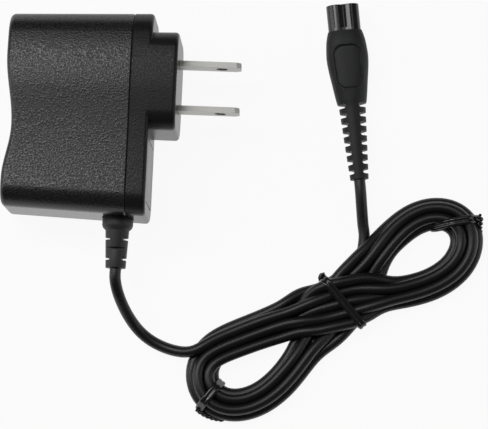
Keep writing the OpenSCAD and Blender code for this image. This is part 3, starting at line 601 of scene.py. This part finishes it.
def soften_edges(bm, width, segments, least_angle):
    """Rounds every edge sharper than an angle in degrees."""
    return worked(bm, "BEVEL", width=width, segments=segments, limit_method="ANGLE",
                  angle_limit=math.radians(least_angle))

def even_shading(piece):
    """Keeps flat faces flat in the shading, next to their rounded edges."""
    step = piece.modifiers.new("even_shading", "WEIGHTED_NORMAL")
    step.keep_sharp = True

print("steps: Solidify, Boolean, Bevel and Weighted Normal")

# %% [markdown]
# ## Where the strain relief sits
# The relief's collar seats in a shallow round recess in the lower end, across the seam, and its
# neck passes the wall there. Both shells are cut by the same tool.

# %% Relief seat
relief_low, relief_high = [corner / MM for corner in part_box("strain_relief")]
RELIEF_X, RELIEF_Z = (relief_low.x + relief_high.x) / 2, (relief_low.z + relief_high.z) / 2
COLLAR_R, COLLAR_LONG, NECK_R, SEAT_DEPTH = 4.3, 4.1, 3.2, 0.6
SEAT_GAP, NECK_GAP, SEAT_REACH, NECK_REACH = 0.22, 0.1, 5, 1.7
SEAT_Y = SEAT_DEPTH - half_height(RELIEF_X)

def relief_seat():
    """The tool for the collar's recess and the neck's hole."""
    middle = Vector((RELIEF_X, 0, RELIEF_Z))
    seat = rod_mesh(COLLAR_R + SEAT_GAP, middle + Vector((0, SEAT_Y - SEAT_REACH, 0)),
                    middle + Vector((0, SEAT_Y, 0)))
    neck = rod_mesh(NECK_R + NECK_GAP, middle + Vector((0, SEAT_Y - 1, 0)),
                    middle + Vector((0, SEAT_Y + NECK_REACH, 0)))
    return combined(seat, neck, "UNION")

print("the relief seats at y", round(SEAT_Y, 2))

# %% [markdown]
# ## Rear shell
# A moulded shell with large rounded long edges, a softly rounded back and a hollow for the fingers.
# It starts as a box with bevelled edges. Cuts across it give it points to move, and moving them
# makes the hollow and the wave. Solidify gives the wall, and a small chamfer makes half the seam.

# %% Rear shell
ON_PLANE = 0.01
GRIP_FRONT, GRIP_FULL = -8, 2               # where the hollow starts, and how far from the back it is full
bm = box_mesh((BACK, -HALF, 0), (SEAM, HALF, THICK))
round_edges(bm, edges_where(bm, along_x), EDGE_R, 12)
round_edges(bm, edges_where(bm, lambda a, b: max(a.x, b.x) < BACK + ON_PLANE), BACK_R, 6)
cut_across(bm, 1, np.arange(-26, 27, 1.5))
cut_across(bm, 0, (-26, -20, -14, -8))
for v in bm.verts:
    ease = min(1, max(0, (v.co.x - GRIP_FRONT) / (BACK - GRIP_FRONT + GRIP_FULL)))
    v.co.x += hollow(v.co.y) * ease ** 2
soften_sides(bm)
open_face = [f for f in bm.faces if f.calc_center_median().x > SEAM - ON_PLANE]
bmesh.ops.delete(bm, geom=open_face, context="FACES")
bmesh.ops.recalc_face_normals(bm, faces=bm.faces)
bm = worked(bm, "SOLIDIFY", thickness=WALL, offset=-1, use_even_offset=True)
bmesh.ops.recalc_face_normals(bm, faces=bm.faces)
print(len(bm.faces), "faces in the wall")

# %% Rear shell's seam
def outer_rim(bm, x):
    """Edges where the outside meets the face at x."""
    def outward(f):
        middle = f.calc_center_median()
        return f.normal.y * middle.y + f.normal.z * (middle.z - THICK / 2) > 0
    return [e for e in bm.edges if all(abs(v.co.x - x) < 2 * ON_PLANE for v in e.verts)
            and len(e.link_faces) == 2
            and any(f.normal.x > 0.9 for f in e.link_faces)
            and any(abs(f.normal.x) < 0.5 and outward(f) for f in e.link_faces)]

rim = outer_rim(bm, SEAM)
round_edges(bm, rim, SEAM_CHAMFER, 1)
bm = combined(bm, relief_seat())
tidy_faces(bm)
print(len(rim), "seam edges on the rear shell")
scale_to_metres(bm)
rear_housing = make_object("rear_housing", mesh_from(bm, "rear_housing", 38),
                           ["rear_shell"])
even_shading(rear_housing)

# %% [markdown]
# ## Front shell
# The shallow half closes the rear shell and carries the block for the blades. Plate and block are
# two bevelled boxes joined into one, so their broad sides run through without a step. Its seam edge
# gets the same small chamfer as the rear shell's, and the two make the fine groove between them.

# %% Front shell
def end_edges(bm, x):
    return edges_where(bm, lambda a, b: min(a.x, b.x) > x - ON_PLANE)

bm = box_mesh((SEAM, -HALF, 0), (FRONT, HALF, THICK))
round_edges(bm, edges_where(bm, along_x), EDGE_R, 12)
round_edges(bm, end_edges(bm, FRONT), RIM_R, 5)
block = box_mesh((SEAM + 1, BLOCK_LOW, 0), (BLOCK, BLOCK_HIGH, THICK))
round_edges(block, edges_where(block, along_x), BLOCK_R, 10)
round_edges(block, end_edges(block, BLOCK), RIM_R, 5)
bm = combined(bm, block, "UNION")
tidy_faces(bm)
chamfer = [e for e in bm.edges if all(abs(v.co.x - SEAM) < 2 * ON_PLANE for v in e.verts)]
round_edges(bm, chamfer, SEAM_CHAMFER, 1)
cut_across(bm, 1, np.arange(-26, 27, 2.0))
print(len(chamfer), "seam edges on the front shell")

# %% [markdown]
# ## Front shell's hollows
# The wall is only two millimetres thick, and each blade comes out through a slot. In the mould a
# steel core leaves these hollows, so here a tool shaped like the core is taken away for each. The
# label lies in a shallow bed with one cut corner, so it can only go in one way round.

# %% Front shell's hollows
SLOT_GAP, BED_GAP, BED_DEPTH, BED_CUT = 0.22, 0.3, 0.3, 3.0
BLADE_HALF_WIDE, SLOT_DEEP, OVERCUT, OVERLAP = 3.175, 4, 1, 0.5

def rounded_tool(low, high, radius):
    """A box tool with its long edges rounded."""
    tool = box_mesh(low, high)
    round_edges(tool, edges_where(tool, along_x), radius, 6)
    return tool

bm = combined(bm, rounded_tool((SEAM - OVERCUT, WALL - HALF, WALL),
                               (FRONT - WALL, HALF - WALL, THICK - WALL), EDGE_R - WALL))
bm = combined(bm, rounded_tool((FRONT - WALL - OVERLAP, BLOCK_LOW + WALL, WALL),
                               (BLOCK - BLOCK_WALL, BLOCK_HIGH - WALL, THICK - WALL),
                               BLOCK_R - WALL))
for low, high in blade_boxes:
    middle = (low + high) / 2
    half_thick, half_wide = (high.y - low.y) / 2 + SLOT_GAP, BLADE_HALF_WIDE + SLOT_GAP
    slot = box_mesh((BLOCK - SLOT_DEEP, middle.y - half_thick, middle.z - half_wide),
                    (BLOCK + OVERCUT, middle.y + half_thick, middle.z + half_wide))
    bm = combined(bm, slot)
bed = box_mesh((FRONT - BED_DEPTH, label_low.y - BED_GAP, label_low.z - BED_GAP),
               (FRONT + OVERCUT, label_high.y + BED_GAP, label_high.z + BED_GAP))
round_edges(bed, edges_where(bed, lambda a, b: along_x(a, b) and a.y > label_high.y
                             and a.z < label_low.z), BED_CUT, 1)
bm = combined(bm, bed)
soften_sides(bm)
bm = combined(bm, relief_seat())
tidy_faces(bm)
scale_to_metres(bm)
front_housing = make_object("front_housing", mesh_from(bm, "front_housing", 38),
                            ["front_shell"])
even_shading(front_housing)

# %% [markdown]
# ## Strain relief
# A soft rubber sleeve keeps the cord from kinking where it leaves the housing: a collar, then
# rings that stay joined by a web, with slots turned a quarter round from one to the next. A half
# outline is spun round the axis, boxes cut the slots, and a bevel softens every edge.

# %% Strain relief
RELIEF_WEB, RELIEF_SLOTS, RING, SLOT, SLEEVE_R, SLEEVE_END_R = 1.7, 3, 2.05, 0.75, 3.3, 2.8
FLANGE_R, FLANGE_IN, FLANGE_OUT, CUT_REACH, RING_ROUND = 4.15, -2.9, -1.55, 6, 0.34
sleeve_end = COLLAR_LONG + (RELIEF_SLOTS + 1) * RING + RELIEF_SLOTS * SLOT
# radius and place along the cord: flange, neck, collar with its soft corners, sleeve
half_outline = [(0.0, FLANGE_IN), (FLANGE_R, FLANGE_IN), (FLANGE_R, FLANGE_OUT),
                (NECK_R, FLANGE_OUT), (NECK_R, 0), (COLLAR_R - 0.15, 0), (COLLAR_R, 0.2),
                (COLLAR_R, 2.7), (COLLAR_R - 0.25, 3.4), (COLLAR_R - 0.8, 3.95),
                (SLEEVE_R, COLLAR_LONG), (SLEEVE_END_R, sleeve_end), (0.0, sleeve_end)]
bm = bmesh.new()
line = [bm.verts.new((r, -l, 0)) for r, l in half_outline]
for a, b in zip(line, line[1:]):
    bm.edges.new((a, b))
bmesh.ops.spin(bm, geom=bm.verts[:] + bm.edges[:], cent=(0, 0, 0), axis=(0, 1, 0),
               angle=2 * math.pi, steps=64, use_merge=True)
merge(bm, FINE_MERGE)
bmesh.ops.recalc_face_normals(bm, faces=bm.faces)
for k in range(RELIEF_SLOTS):
    start = -(COLLAR_LONG + (k + 1) * RING + k * SLOT)
    for side in (-1, 1):
        near, far = sorted((side * RELIEF_WEB, side * CUT_REACH))
        low, high = [(near, start - SLOT, -CUT_REACH), (far, start, CUT_REACH)]
        if k % 2:
            low, high = [(-CUT_REACH, start - SLOT, near), (CUT_REACH, start, far)]
        bm = combined(bm, box_mesh(low, high))
merge(bm, MERGE)
bm = soften_edges(bm, RING_ROUND, 3, 50)
bmesh.ops.translate(bm, vec=(RELIEF_X, SEAT_Y, RELIEF_Z), verts=bm.verts)
scale_to_metres(bm)
relief = make_object("ribbed_relief", mesh_from(bm, "ribbed_relief", 45),
                     ["strain_relief"])

# %% [markdown]
# ## Connector moulding
# The grip is one soft moulding: a flat oval that swells where the fingers hold it, with a pressed
# thumb pad, and a tapered ribbed tail. A rod with many rings is shaped section by section, and the
# pad is pressed in by moving its points, which keeps the skin in one piece.

# %% Connector place
CONNECTOR_END, CONNECTOR_TURN, GRIP_THICK = (66.4, -13.3), 7.7, 8.4
TAIL_LONG, GRIP_LONG, NOSE_LONG = 21.6, 21.0, 7.6
NOSE_Y = TAIL_LONG + GRIP_LONG

def place_connector(bm):
    """From the connector's own axis to its place on the table, in metres."""
    bmesh.ops.rotate(bm, cent=(0, 0, 0), verts=bm.verts,
                     matrix=Matrix.Rotation(math.radians(CONNECTOR_TURN), 3, "Z"))
    bmesh.ops.translate(bm, vec=(*CONNECTOR_END, GRIP_THICK / 2), verts=bm.verts)
    scale_to_metres(bm)

print("the connector is", round(NOSE_Y + NOSE_LONG, 1), "mm long")

# %% Thumb pad
PAD_Y, PAD_LONG, PAD_WIDE, PAD_DEPTH, PAD_CORNER, PAD_FLARE = 32.0, 12.2, 7.4, 0.6, 2.8, 0.012
PRESS_WIDE, LIP_HIGH, LIP_AT, LIP_WIDE = 0.44, 0.09, 0.42, 0.22

def pad_distance(x, y):
    """Distance outside the thumb pad's outline, below nothing inside it."""
    wide = PAD_WIDE / 2 * (1 + PAD_FLARE * (y - PAD_Y))
    dx, dy = abs(x) - wide + PAD_CORNER, abs(y - PAD_Y) - PAD_LONG / 2 + PAD_CORNER
    return math.hypot(max(dx, 0), max(dy, 0)) + min(max(dx, dy), 0) - PAD_CORNER

def pad_press(x, y):
    """How far the pad lowers the surface at a place, and how far the lip round it raises it."""
    outside = pad_distance(x, y)
    pressed = min(1, max(0, 0.5 - outside / PRESS_WIDE))
    lowered = PAD_DEPTH * pressed * pressed * (3 - 2 * pressed)
    return lowered, LIP_HIGH * math.exp(-((outside - LIP_AT) / LIP_WIDE) ** 2)

print("the pad is", PAD_LONG, "by", PAD_WIDE, "mm")

# %% Connector moulding
# place along the axis, half width, half thickness
GRIP_SECTIONS = [(0, 2.6, 2.4), (10, 3.2, 2.85), (20.6, 3.8, 3.25), (21.7, 4.15, 3.45),
                 (24.4, 4.62, 3.75), (27.9, 5.12, 4.02), (31.3, 5.62, 4.14), (34.2, 5.92, 4.185),
                 (36.4, 5.9, 4.16), (39.9, 5.55, 3.95), (41.6, 5.15, 3.65), (NOSE_Y, 4.85, 3.4)]
section_line = smooth_line(GRIP_SECTIONS, parts=20)
GRIP_CUTS = [np.arange(0.5, 26, 0.9), np.arange(26.2, 41.4, 0.22), (41.8, 42.2)]
SQUARE_OVER, SQUARENESS = (TAIL_LONG, TAIL_LONG + 6), (1.9, 2.6)

def bulge(v, squareness):
    """A round section's coordinate made squarer: two leaves it round."""
    return math.copysign(abs(v) ** (2 / squareness), v)

bm = rod_mesh(1, (0, 0, 0), (0, NOSE_Y, 0), sides=208)
cut_across(bm, 1, np.concatenate(GRIP_CUTS))
for v in bm.verts:
    half_wide = np.interp(v.co.y, section_line[:, 0], section_line[:, 1])
    half_thick = np.interp(v.co.y, section_line[:, 0], section_line[:, 2])
    squareness = np.interp(v.co.y, SQUARE_OVER, SQUARENESS)
    r = math.hypot(v.co.x, v.co.z) or 1
    x, z = half_wide * bulge(v.co.x / r, squareness), half_thick * bulge(v.co.z / r, squareness)
    if z > 0:
        lowered, lip = pad_press(x, v.co.y)
        z = z - lowered + lip
    v.co.x, v.co.z = x, z
print(len(bm.verts), "points on the grip and tail")

# %% [markdown]
# ## Tail slots
# The tail bends with the cord because slots leave it only a web, thinner at the cord's end. Their
# bottoms are round, so that the rubber doesn't tear there. A rounded box cuts each side of each.

# %% Tail slots
TAIL_SLOTS, SLOT_WIDE, TAIL_WEB, TAIL_ROUND = 8, 1.3, (1.2, 1.85), 0.2
SLOT_REACH, SLOT_HALF_HIGH, SLOT_ROUND = 9, 6, SLOT_WIDE / 2 - 0.02
pitch = TAIL_LONG / TAIL_SLOTS
tools = bmesh.new()
for k in range(TAIL_SLOTS):
    middle = pitch * (k + 1) - SLOT_WIDE / 2
    web = np.interp(k, (0, TAIL_SLOTS - 1), TAIL_WEB)
    for side in (-1, 1):
        near, far = sorted((side * web, side * SLOT_REACH))
        tool = box_mesh((near, middle - SLOT_WIDE / 2, -SLOT_HALF_HIGH),
                        (far, middle + SLOT_WIDE / 2, SLOT_HALF_HIGH))
        inner = edges_where(tool, lambda a, b: abs(a.z - b.z) > 1 and abs(a.x) < SLOT_REACH / 3)
        round_edges(tool, inner, SLOT_ROUND, 4)
        add_to(tools, tool)
bm = combined(bm, tools)
merge(bm, MERGE)
bm = soften_edges(bm, TAIL_ROUND, 2, 50)
place_connector(bm)
grip_moulding = make_object("grip_moulding", mesh_from(bm, "grip_moulding", 45),
                            ["connector_grip"])

# %% [markdown]
# ## Connector nose
# The hard glossy nose slides into the trimmer. It is two round lobes, one for each contact, with a
# grooved flat between them. Rods and a box are joined, then grooves and the two sockets are cut.

# %% Connector nose
LOBE_R, NOSE_HALF_THICK, CONTACT_PITCH, SOCKET_R, SOCKET_DEEP = 2.65, 2.35, 3.9, 1.35, 6.8
GROOVE_START, NOSE_ROUND = 0.9, 0.07
NOSE_END = NOSE_Y + NOSE_LONG
half = CONTACT_PITCH / 2
# middle, height of the surface and depth of each V-shaped groove
GROOVES = [(-2.75, 2.52, 0.16), (-1.2, 2.54, 0.25), (-0.46, 2.35, 0.38), (0.46, 2.35, 0.3),
           (2.07, 2.64, 0.18), (2.8, 2.51, 0.2)]
bm = rod_mesh(LOBE_R, (-half, NOSE_Y, 0), (-half, NOSE_END, 0))
bm = combined(bm, rod_mesh(LOBE_R, (half, NOSE_Y, 0), (half, NOSE_END, 0)), "UNION")
flat = box_mesh((-half, NOSE_Y, -NOSE_HALF_THICK), (half, NOSE_END, NOSE_HALF_THICK))
bm = combined(bm, flat, "UNION")
tidy_faces(bm)
for x, z, deep in GROOVES:
    for side in (-z, z):
        groove = rod_mesh(deep, (x, NOSE_Y + GROOVE_START, side), (x, NOSE_END + 1, side), sides=4)
        bm = combined(bm, groove)
for x in (-half, half):
    bm = combined(bm, rod_mesh(SOCKET_R, (x, NOSE_END - SOCKET_DEEP, 0), (x, NOSE_END + 1, 0)))
merge(bm, MERGE)
bm = soften_edges(bm, NOSE_ROUND, 2, 55)
place_connector(bm)
nose = make_object("grooved_nose", mesh_from(bm, "grooved_nose", 28), ["connector_nose"])
even_shading(nose)

# %% [markdown]
# ## Plastics and metals
# Moulded plastic has a fine grain, metal fine wear, and neither is one flat colour. A picture could
# hold that, but noise on Object coordinates needs none and keeps its scale in millimetres. A number
# that is the same all over, such as the specular level, is set on the shader itself.

# %% Material helpers
def finish(name, colour, roughness, metallic=0.0, **sockets):
    material = bpy.data.materials.new(name)
    material.use_nodes = True
    shader = material.node_tree.nodes["Principled BSDF"]
    shader.inputs["Base Color"].default_value = (*colour, 1)
    shader.inputs["Roughness"].default_value = roughness
    shader.inputs["Metallic"].default_value = metallic
    for socket, value in sockets.items():
        shader.inputs[socket.replace("_", " ")].default_value = value
    return material

def add_node(material, kind, **values):
    node = material.node_tree.nodes.new(kind)
    for name, value in values.items():
        if name in node.inputs:
            node.inputs[name].default_value = value
        else:
            setattr(node, name, value)
    return node

def link(material, a, out, b, into):
    material.node_tree.links.new(a.outputs[out], b.inputs[into])

print("finishes are Principled shaders")

# %% Grain
SPREAD_MM, SPREAD_DETAIL = 9, 3.0
PIT_RANGE = (0.34, 0.66)
MIX_COLOURS, MIX_COLOUR_OUT = (6, 7), 2     # a Mix node's colour sockets go by number

def grain(material, size_mm, height_mm, rough, colours, detail=2.0, pits=False):
    """Fine bumps, with roughness and colour that vary; with pits the roughness follows the bumps."""
    shader = material.node_tree.nodes["Principled BSDF"]
    place = add_node(material, "ShaderNodeTexCoord")
    noise = add_node(material, "ShaderNodeTexNoise", Scale=1 / (size_mm * MM), Detail=detail)
    bump = add_node(material, "ShaderNodeBump", Strength=1.0, Distance=height_mm * MM)
    spread = add_node(material, "ShaderNodeTexNoise", Scale=1 / (SPREAD_MM * MM),
                      Detail=SPREAD_DETAIL)
    levels = add_node(material, "ShaderNodeMapRange")
    levels.inputs["To Min"].default_value, levels.inputs["To Max"].default_value = rough
    if pits:
        levels.inputs["From Min"].default_value, levels.inputs["From Max"].default_value = PIT_RANGE
    mix = add_node(material, "ShaderNodeMix", data_type="RGBA")
    for socket, colour in zip(MIX_COLOURS, colours):
        mix.inputs[socket].default_value = (*colour, 1)
    link(material, place, "Object", noise, "Vector")
    link(material, place, "Object", spread, "Vector")
    link(material, noise, "Fac", bump, "Height")
    link(material, bump, "Normal", shader, "Normal")
    link(material, noise if pits else spread, "Fac", levels, "Value")
    link(material, levels, "Result", shader, "Roughness")
    link(material, spread, "Fac", mix, "Factor")
    link(material, mix, MIX_COLOUR_OUT, shader, "Base Color")
    return material

def greys(*values):
    return [(value, value, value) for value in values]

print("colour drifts over about", SPREAD_MM, "mm")

# %% Outer finishes
BLACK = (0.012, 0.012, 0.012)
black_grain = grain(finish("black_grain", BLACK, 0.4), 0.5, 0.075, rough=(0.52, 0.2),
                    colours=greys(0.008, 0.014), detail=1.5, pits=True)
black_plain = grain(finish("black_plain", BLACK, 0.4, Specular_IOR_Level=0.24), 0.5, 0.05,
                    rough=(0.46, 0.26), colours=greys(0.008, 0.013), detail=1.5, pits=True)
black_jacket = grain(finish("black_jacket", (0.005, 0.005, 0.005), 0.4), 0.6, 0.01,
                     rough=(0.36, 0.48), colours=greys(0.003, 0.006))
black_rubber = grain(finish("black_rubber", (0.024, 0.024, 0.024), 0.5), 0.3, 0.02,
                     rough=(0.45, 0.6), colours=greys(0.018, 0.030))
grey_moulding = grain(finish("grey_moulding", (0.012, 0.0125, 0.014), 0.5,
                             Specular_IOR_Level=0.42), 0.3, 0.02, rough=(0.5, 0.62),
                      colours=((0.009, 0.0095, 0.011), (0.015, 0.016, 0.018)))
black_gloss = grain(finish("black_gloss", (0.01, 0.01, 0.011), 0.2), 0.8, 0.004,
                    rough=(0.15, 0.28), colours=((0.008, 0.008, 0.009), (0.013, 0.013, 0.014)))
nickel = grain(finish("nickel", (0.42, 0.415, 0.4), 0.5, 1.0), 0.25, 0.006,
               rough=(0.42, 0.54), colours=((0.38, 0.375, 0.36), (0.50, 0.495, 0.48)))
brass = grain(finish("brass", (0.75, 0.58, 0.28), 0.3, 1.0), 0.25, 0.004,
              rough=(0.25, 0.4), colours=((0.68, 0.5, 0.22), (0.8, 0.63, 0.33)))
label_film = grain(finish("label_film", (0.09, 0.09, 0.093), 0.35), 0.5, 0.004,
                   rough=(0.3, 0.42), colours=((0.08, 0.08, 0.083), (0.11, 0.11, 0.113)))
print("outer finishes", len(bpy.data.materials))

# %% [markdown]
# ## Smoother ends
# The ends of the housing slide along the mould as it opens, so their grain is lower and they shine
# more than the broad sides. Two materials could meet at a line, but the change on a rounded edge is
# gradual. So one material fades with the direction that the surface faces.

# %% Smoother ends
FACING, ENDS_BUMP = (0.3, 0.8), (0.3, 1.0)
MIX_NUMBERS, MIX_NUMBER_OUT = (2, 3), 0

def smoother_ends(material, ends_rough):
    """Full grain where the surface faces up or down, and a lower, smoother one at the ends."""
    nodes_in = material.node_tree.nodes
    shader, bump = nodes_in["Principled BSDF"], nodes_in["Bump"]
    grained = nodes_in["Map Range"]
    place = add_node(material, "ShaderNodeTexCoord")
    split = add_node(material, "ShaderNodeSeparateXYZ")
    upward = add_node(material, "ShaderNodeMath", operation="ABSOLUTE")
    broad = add_node(material, "ShaderNodeMapRange", interpolation_type="SMOOTHSTEP")
    broad.inputs["From Min"].default_value, broad.inputs["From Max"].default_value = FACING
    strength = add_node(material, "ShaderNodeMapRange")
    strength.inputs["To Min"].default_value, strength.inputs["To Max"].default_value = ENDS_BUMP
    mix = add_node(material, "ShaderNodeMix", data_type="FLOAT")
    mix.inputs[MIX_NUMBERS[0]].default_value = ends_rough
    link(material, place, "Normal", split, 0)
    link(material, split, "Z", upward, 0)
    link(material, upward, 0, broad, "Value")
    link(material, broad, "Result", strength, "Value")
    link(material, strength, "Result", bump, "Strength")
    link(material, broad, "Result", mix, "Factor")
    link(material, grained, "Result", mix, MIX_NUMBERS[1])
    link(material, mix, MIX_NUMBER_OUT, shader, "Roughness")

smoother_ends(black_grain, 0.27)
smoother_ends(black_plain, 0.3)
print("the ends keep", ENDS_BUMP[0], "of the grain's height")

# %% [markdown]
# ## Inside finishes
# The board, its parts and the wires are seen only when the shells come off. Each keeps its CAD
# shape and gets the colour such a part usually has, with a light grain and a darker shade in it.

# %% Inside finishes
INNER_SHADE, INNER_SPREAD = 0.85, 0.08
INNER = {"circuit_board": ((0.30, 0.22, 0.08), 0.5), "live_wire": ((0.45, 0.04, 0.03), 0.45),
         "neutral_wire": ((0.04, 0.04, 0.05), 0.45), "fusible_resistor": ((0.3, 0.45, 0.36), 0.4),
         "filter_inductor": ((0.06, 0.09, 0.07), 0.5), "rectifier_diodes": ((0.04, 0.04, 0.04), 0.4),
         "input_capacitors": ((0.03, 0.04, 0.12), 0.3), "transformer_core": ((0.08, 0.08, 0.09), 0.6),
         "transformer_bobbin": ((0.6, 0.52, 0.4), 0.5), "transformer_winding": ((0.75, 0.55, 0.06), 0.3),
         "controller_chip": ((0.04, 0.04, 0.04), 0.45), "optocoupler": ((0.75, 0.74, 0.68), 0.4),
         "safety_capacitor": ((0.05, 0.2, 0.5), 0.25), "output_diode": ((0.04, 0.04, 0.04), 0.4),
         "output_capacitor": ((0.03, 0.04, 0.12), 0.3), "positive_wire": ((0.45, 0.04, 0.03), 0.45),
         "negative_wire": ((0.04, 0.04, 0.05), 0.45)}

def dress(piece, material):
    """Gives a piece its one material, in the slots it has or in a new one."""
    if piece.material_slots:
        for s in piece.material_slots:
            s.material = material
    else:
        piece.data.materials.append(material)

for name, (colour, roughness) in INNER.items():
    darker = tuple(INNER_SHADE * c for c in colour)
    dress(nodes[name], grain(finish(name + "_finish", colour, roughness), 0.4, 0.01,
                             rough=(roughness - INNER_SPREAD, roughness + INNER_SPREAD),
                             colours=(darker, colour)))
print("inside parts", len(INNER))

# %% Dress the pieces
WORN_BY = {nickel: [nodes["live_blade"], nodes["neutral_blade"]], black_gloss: [nose, *ties],
           brass: [nodes["connector_contacts"]], label_film: [nodes["rating_label"]],
           black_rubber: [relief], grey_moulding: [grip_moulding], black_jacket: [cord],
           black_grain: [rear_housing], black_plain: [front_housing]}
for material, pieces in WORN_BY.items():
    for piece in pieces:
        dress(piece, material)
print("materials", len(bpy.data.materials))

# %% [markdown]
# ## Floor
# The charger lies on plain white paper. Paper lit only by the lamps would look grey, and more lamp
# light would bleach the black plastic. So the camera and the glossy surfaces see mostly a plain
# white, and the rest is real paper, which keeps the soft shadow under the cord.

# %% Floor
FLOOR_HALF, OWN_WHITE = 2.0, 0.93
floor_mesh = bpy.data.meshes.new("floor")
bm = bmesh.new()
bmesh.ops.create_grid(bm, x_segments=1, y_segments=1, size=FLOOR_HALF)
bm.to_mesh(floor_mesh)
bm.free()
floor = bpy.data.objects.new("floor", floor_mesh)
bpy.context.scene.collection.objects.link(floor)
paper = finish("paper", (0.86, 0.86, 0.86), 0.9)
paper_shader = paper.node_tree.nodes["Principled BSDF"]
white = add_node(paper, "ShaderNodeEmission", Color=(1, 1, 1, 1), Strength=1.0)
seen_by = add_node(paper, "ShaderNodeLightPath")
camera_share = add_node(paper, "ShaderNodeMath", operation="MULTIPLY")
camera_share.inputs[1].default_value = OWN_WHITE
share_of_white = add_node(paper, "ShaderNodeMath", operation="MAXIMUM")
paper_mix = add_node(paper, "ShaderNodeMixShader")
link(paper, seen_by, "Is Camera Ray", camera_share, 0)
link(paper, seen_by, "Is Glossy Ray", share_of_white, 0)
link(paper, camera_share, 0, share_of_white, 1)
link(paper, share_of_white, 0, paper_mix, 0)
link(paper, paper_shader, 0, paper_mix, 1)
link(paper, white, 0, paper_mix, 2)
link(paper, paper_mix, 0, paper.node_tree.nodes["Material Output"], 0)
dress(floor, paper)
print("the floor is", 2 * FLOOR_HALF, "m wide")

# %% [markdown]
# ## Lights
# A soft light overhead shows as a sheen on the flat sides. It is wide one way and narrow the other,
# so that a shallow wave in a side makes the sheen brighter or darker. A weaker one lights the cord's
# half, and two at the sides draw a thin line along rounded edges. The overhead lights aim at a point
# with their own x, because a lamp that aims askew turns its rectangle too. The room is dim, so the
# edges that mirror it go dark.

# %% Lights
def area_light(name, place, target, size, power):
    data = bpy.data.lights.new(name, "AREA")
    data.shape, data.size, data.size_y = "RECTANGLE", size[0], size[1]
    data.energy = power
    light = bpy.data.objects.new(name, data)
    light.location = place
    light.rotation_euler = (Vector(target) - Vector(place)).to_track_quat("-Z", "Y").to_euler()
    bpy.context.scene.collection.objects.link(light)

# place, target, width and depth in metres, and power in watts
LIGHTS = {"overhead": ((-0.5, 0.26, 0.97), (-0.5, 0.0, 0), (0.9, 0.26), 5.2),
          "fill": ((0.32, 0.26, 0.97), (0.32, 0.0, 0), (0.6, 0.26), 0.6),
          "from_the_left": ((-1.1, 0.0, 0.5), (0, 0, 0), (0.5, 0.8), 3),
          "from_the_right": ((1.2, 0.0, 0.5), (0, 0, 0), (0.5, 0.8), 2)}
for name, facts in LIGHTS.items():
    area_light(name, *facts)
print(len(LIGHTS), "lights")

# %% Room
world = bpy.data.worlds.new("room")
bpy.context.scene.world = world
world.use_nodes = True
tree = world.node_tree
room = tree.nodes["Background"]
room.inputs["Color"].default_value = (0.06, 0.06, 0.06, 1)
backdrop = tree.nodes.new("ShaderNodeBackground")
backdrop.inputs["Color"].default_value = (1, 1, 1, 1)
path = tree.nodes.new("ShaderNodeLightPath")
choose = tree.nodes.new("ShaderNodeMixShader")
tree.links.new(path.outputs["Is Camera Ray"], choose.inputs[0])
tree.links.new(room.outputs[0], choose.inputs[1])
tree.links.new(backdrop.outputs[0], choose.inputs[2])
tree.links.new(choose.outputs[0], tree.nodes["World Output"].inputs[0])
bpy.context.scene.view_settings.view_transform = "Standard"
print("the room is dim, its backdrop white")
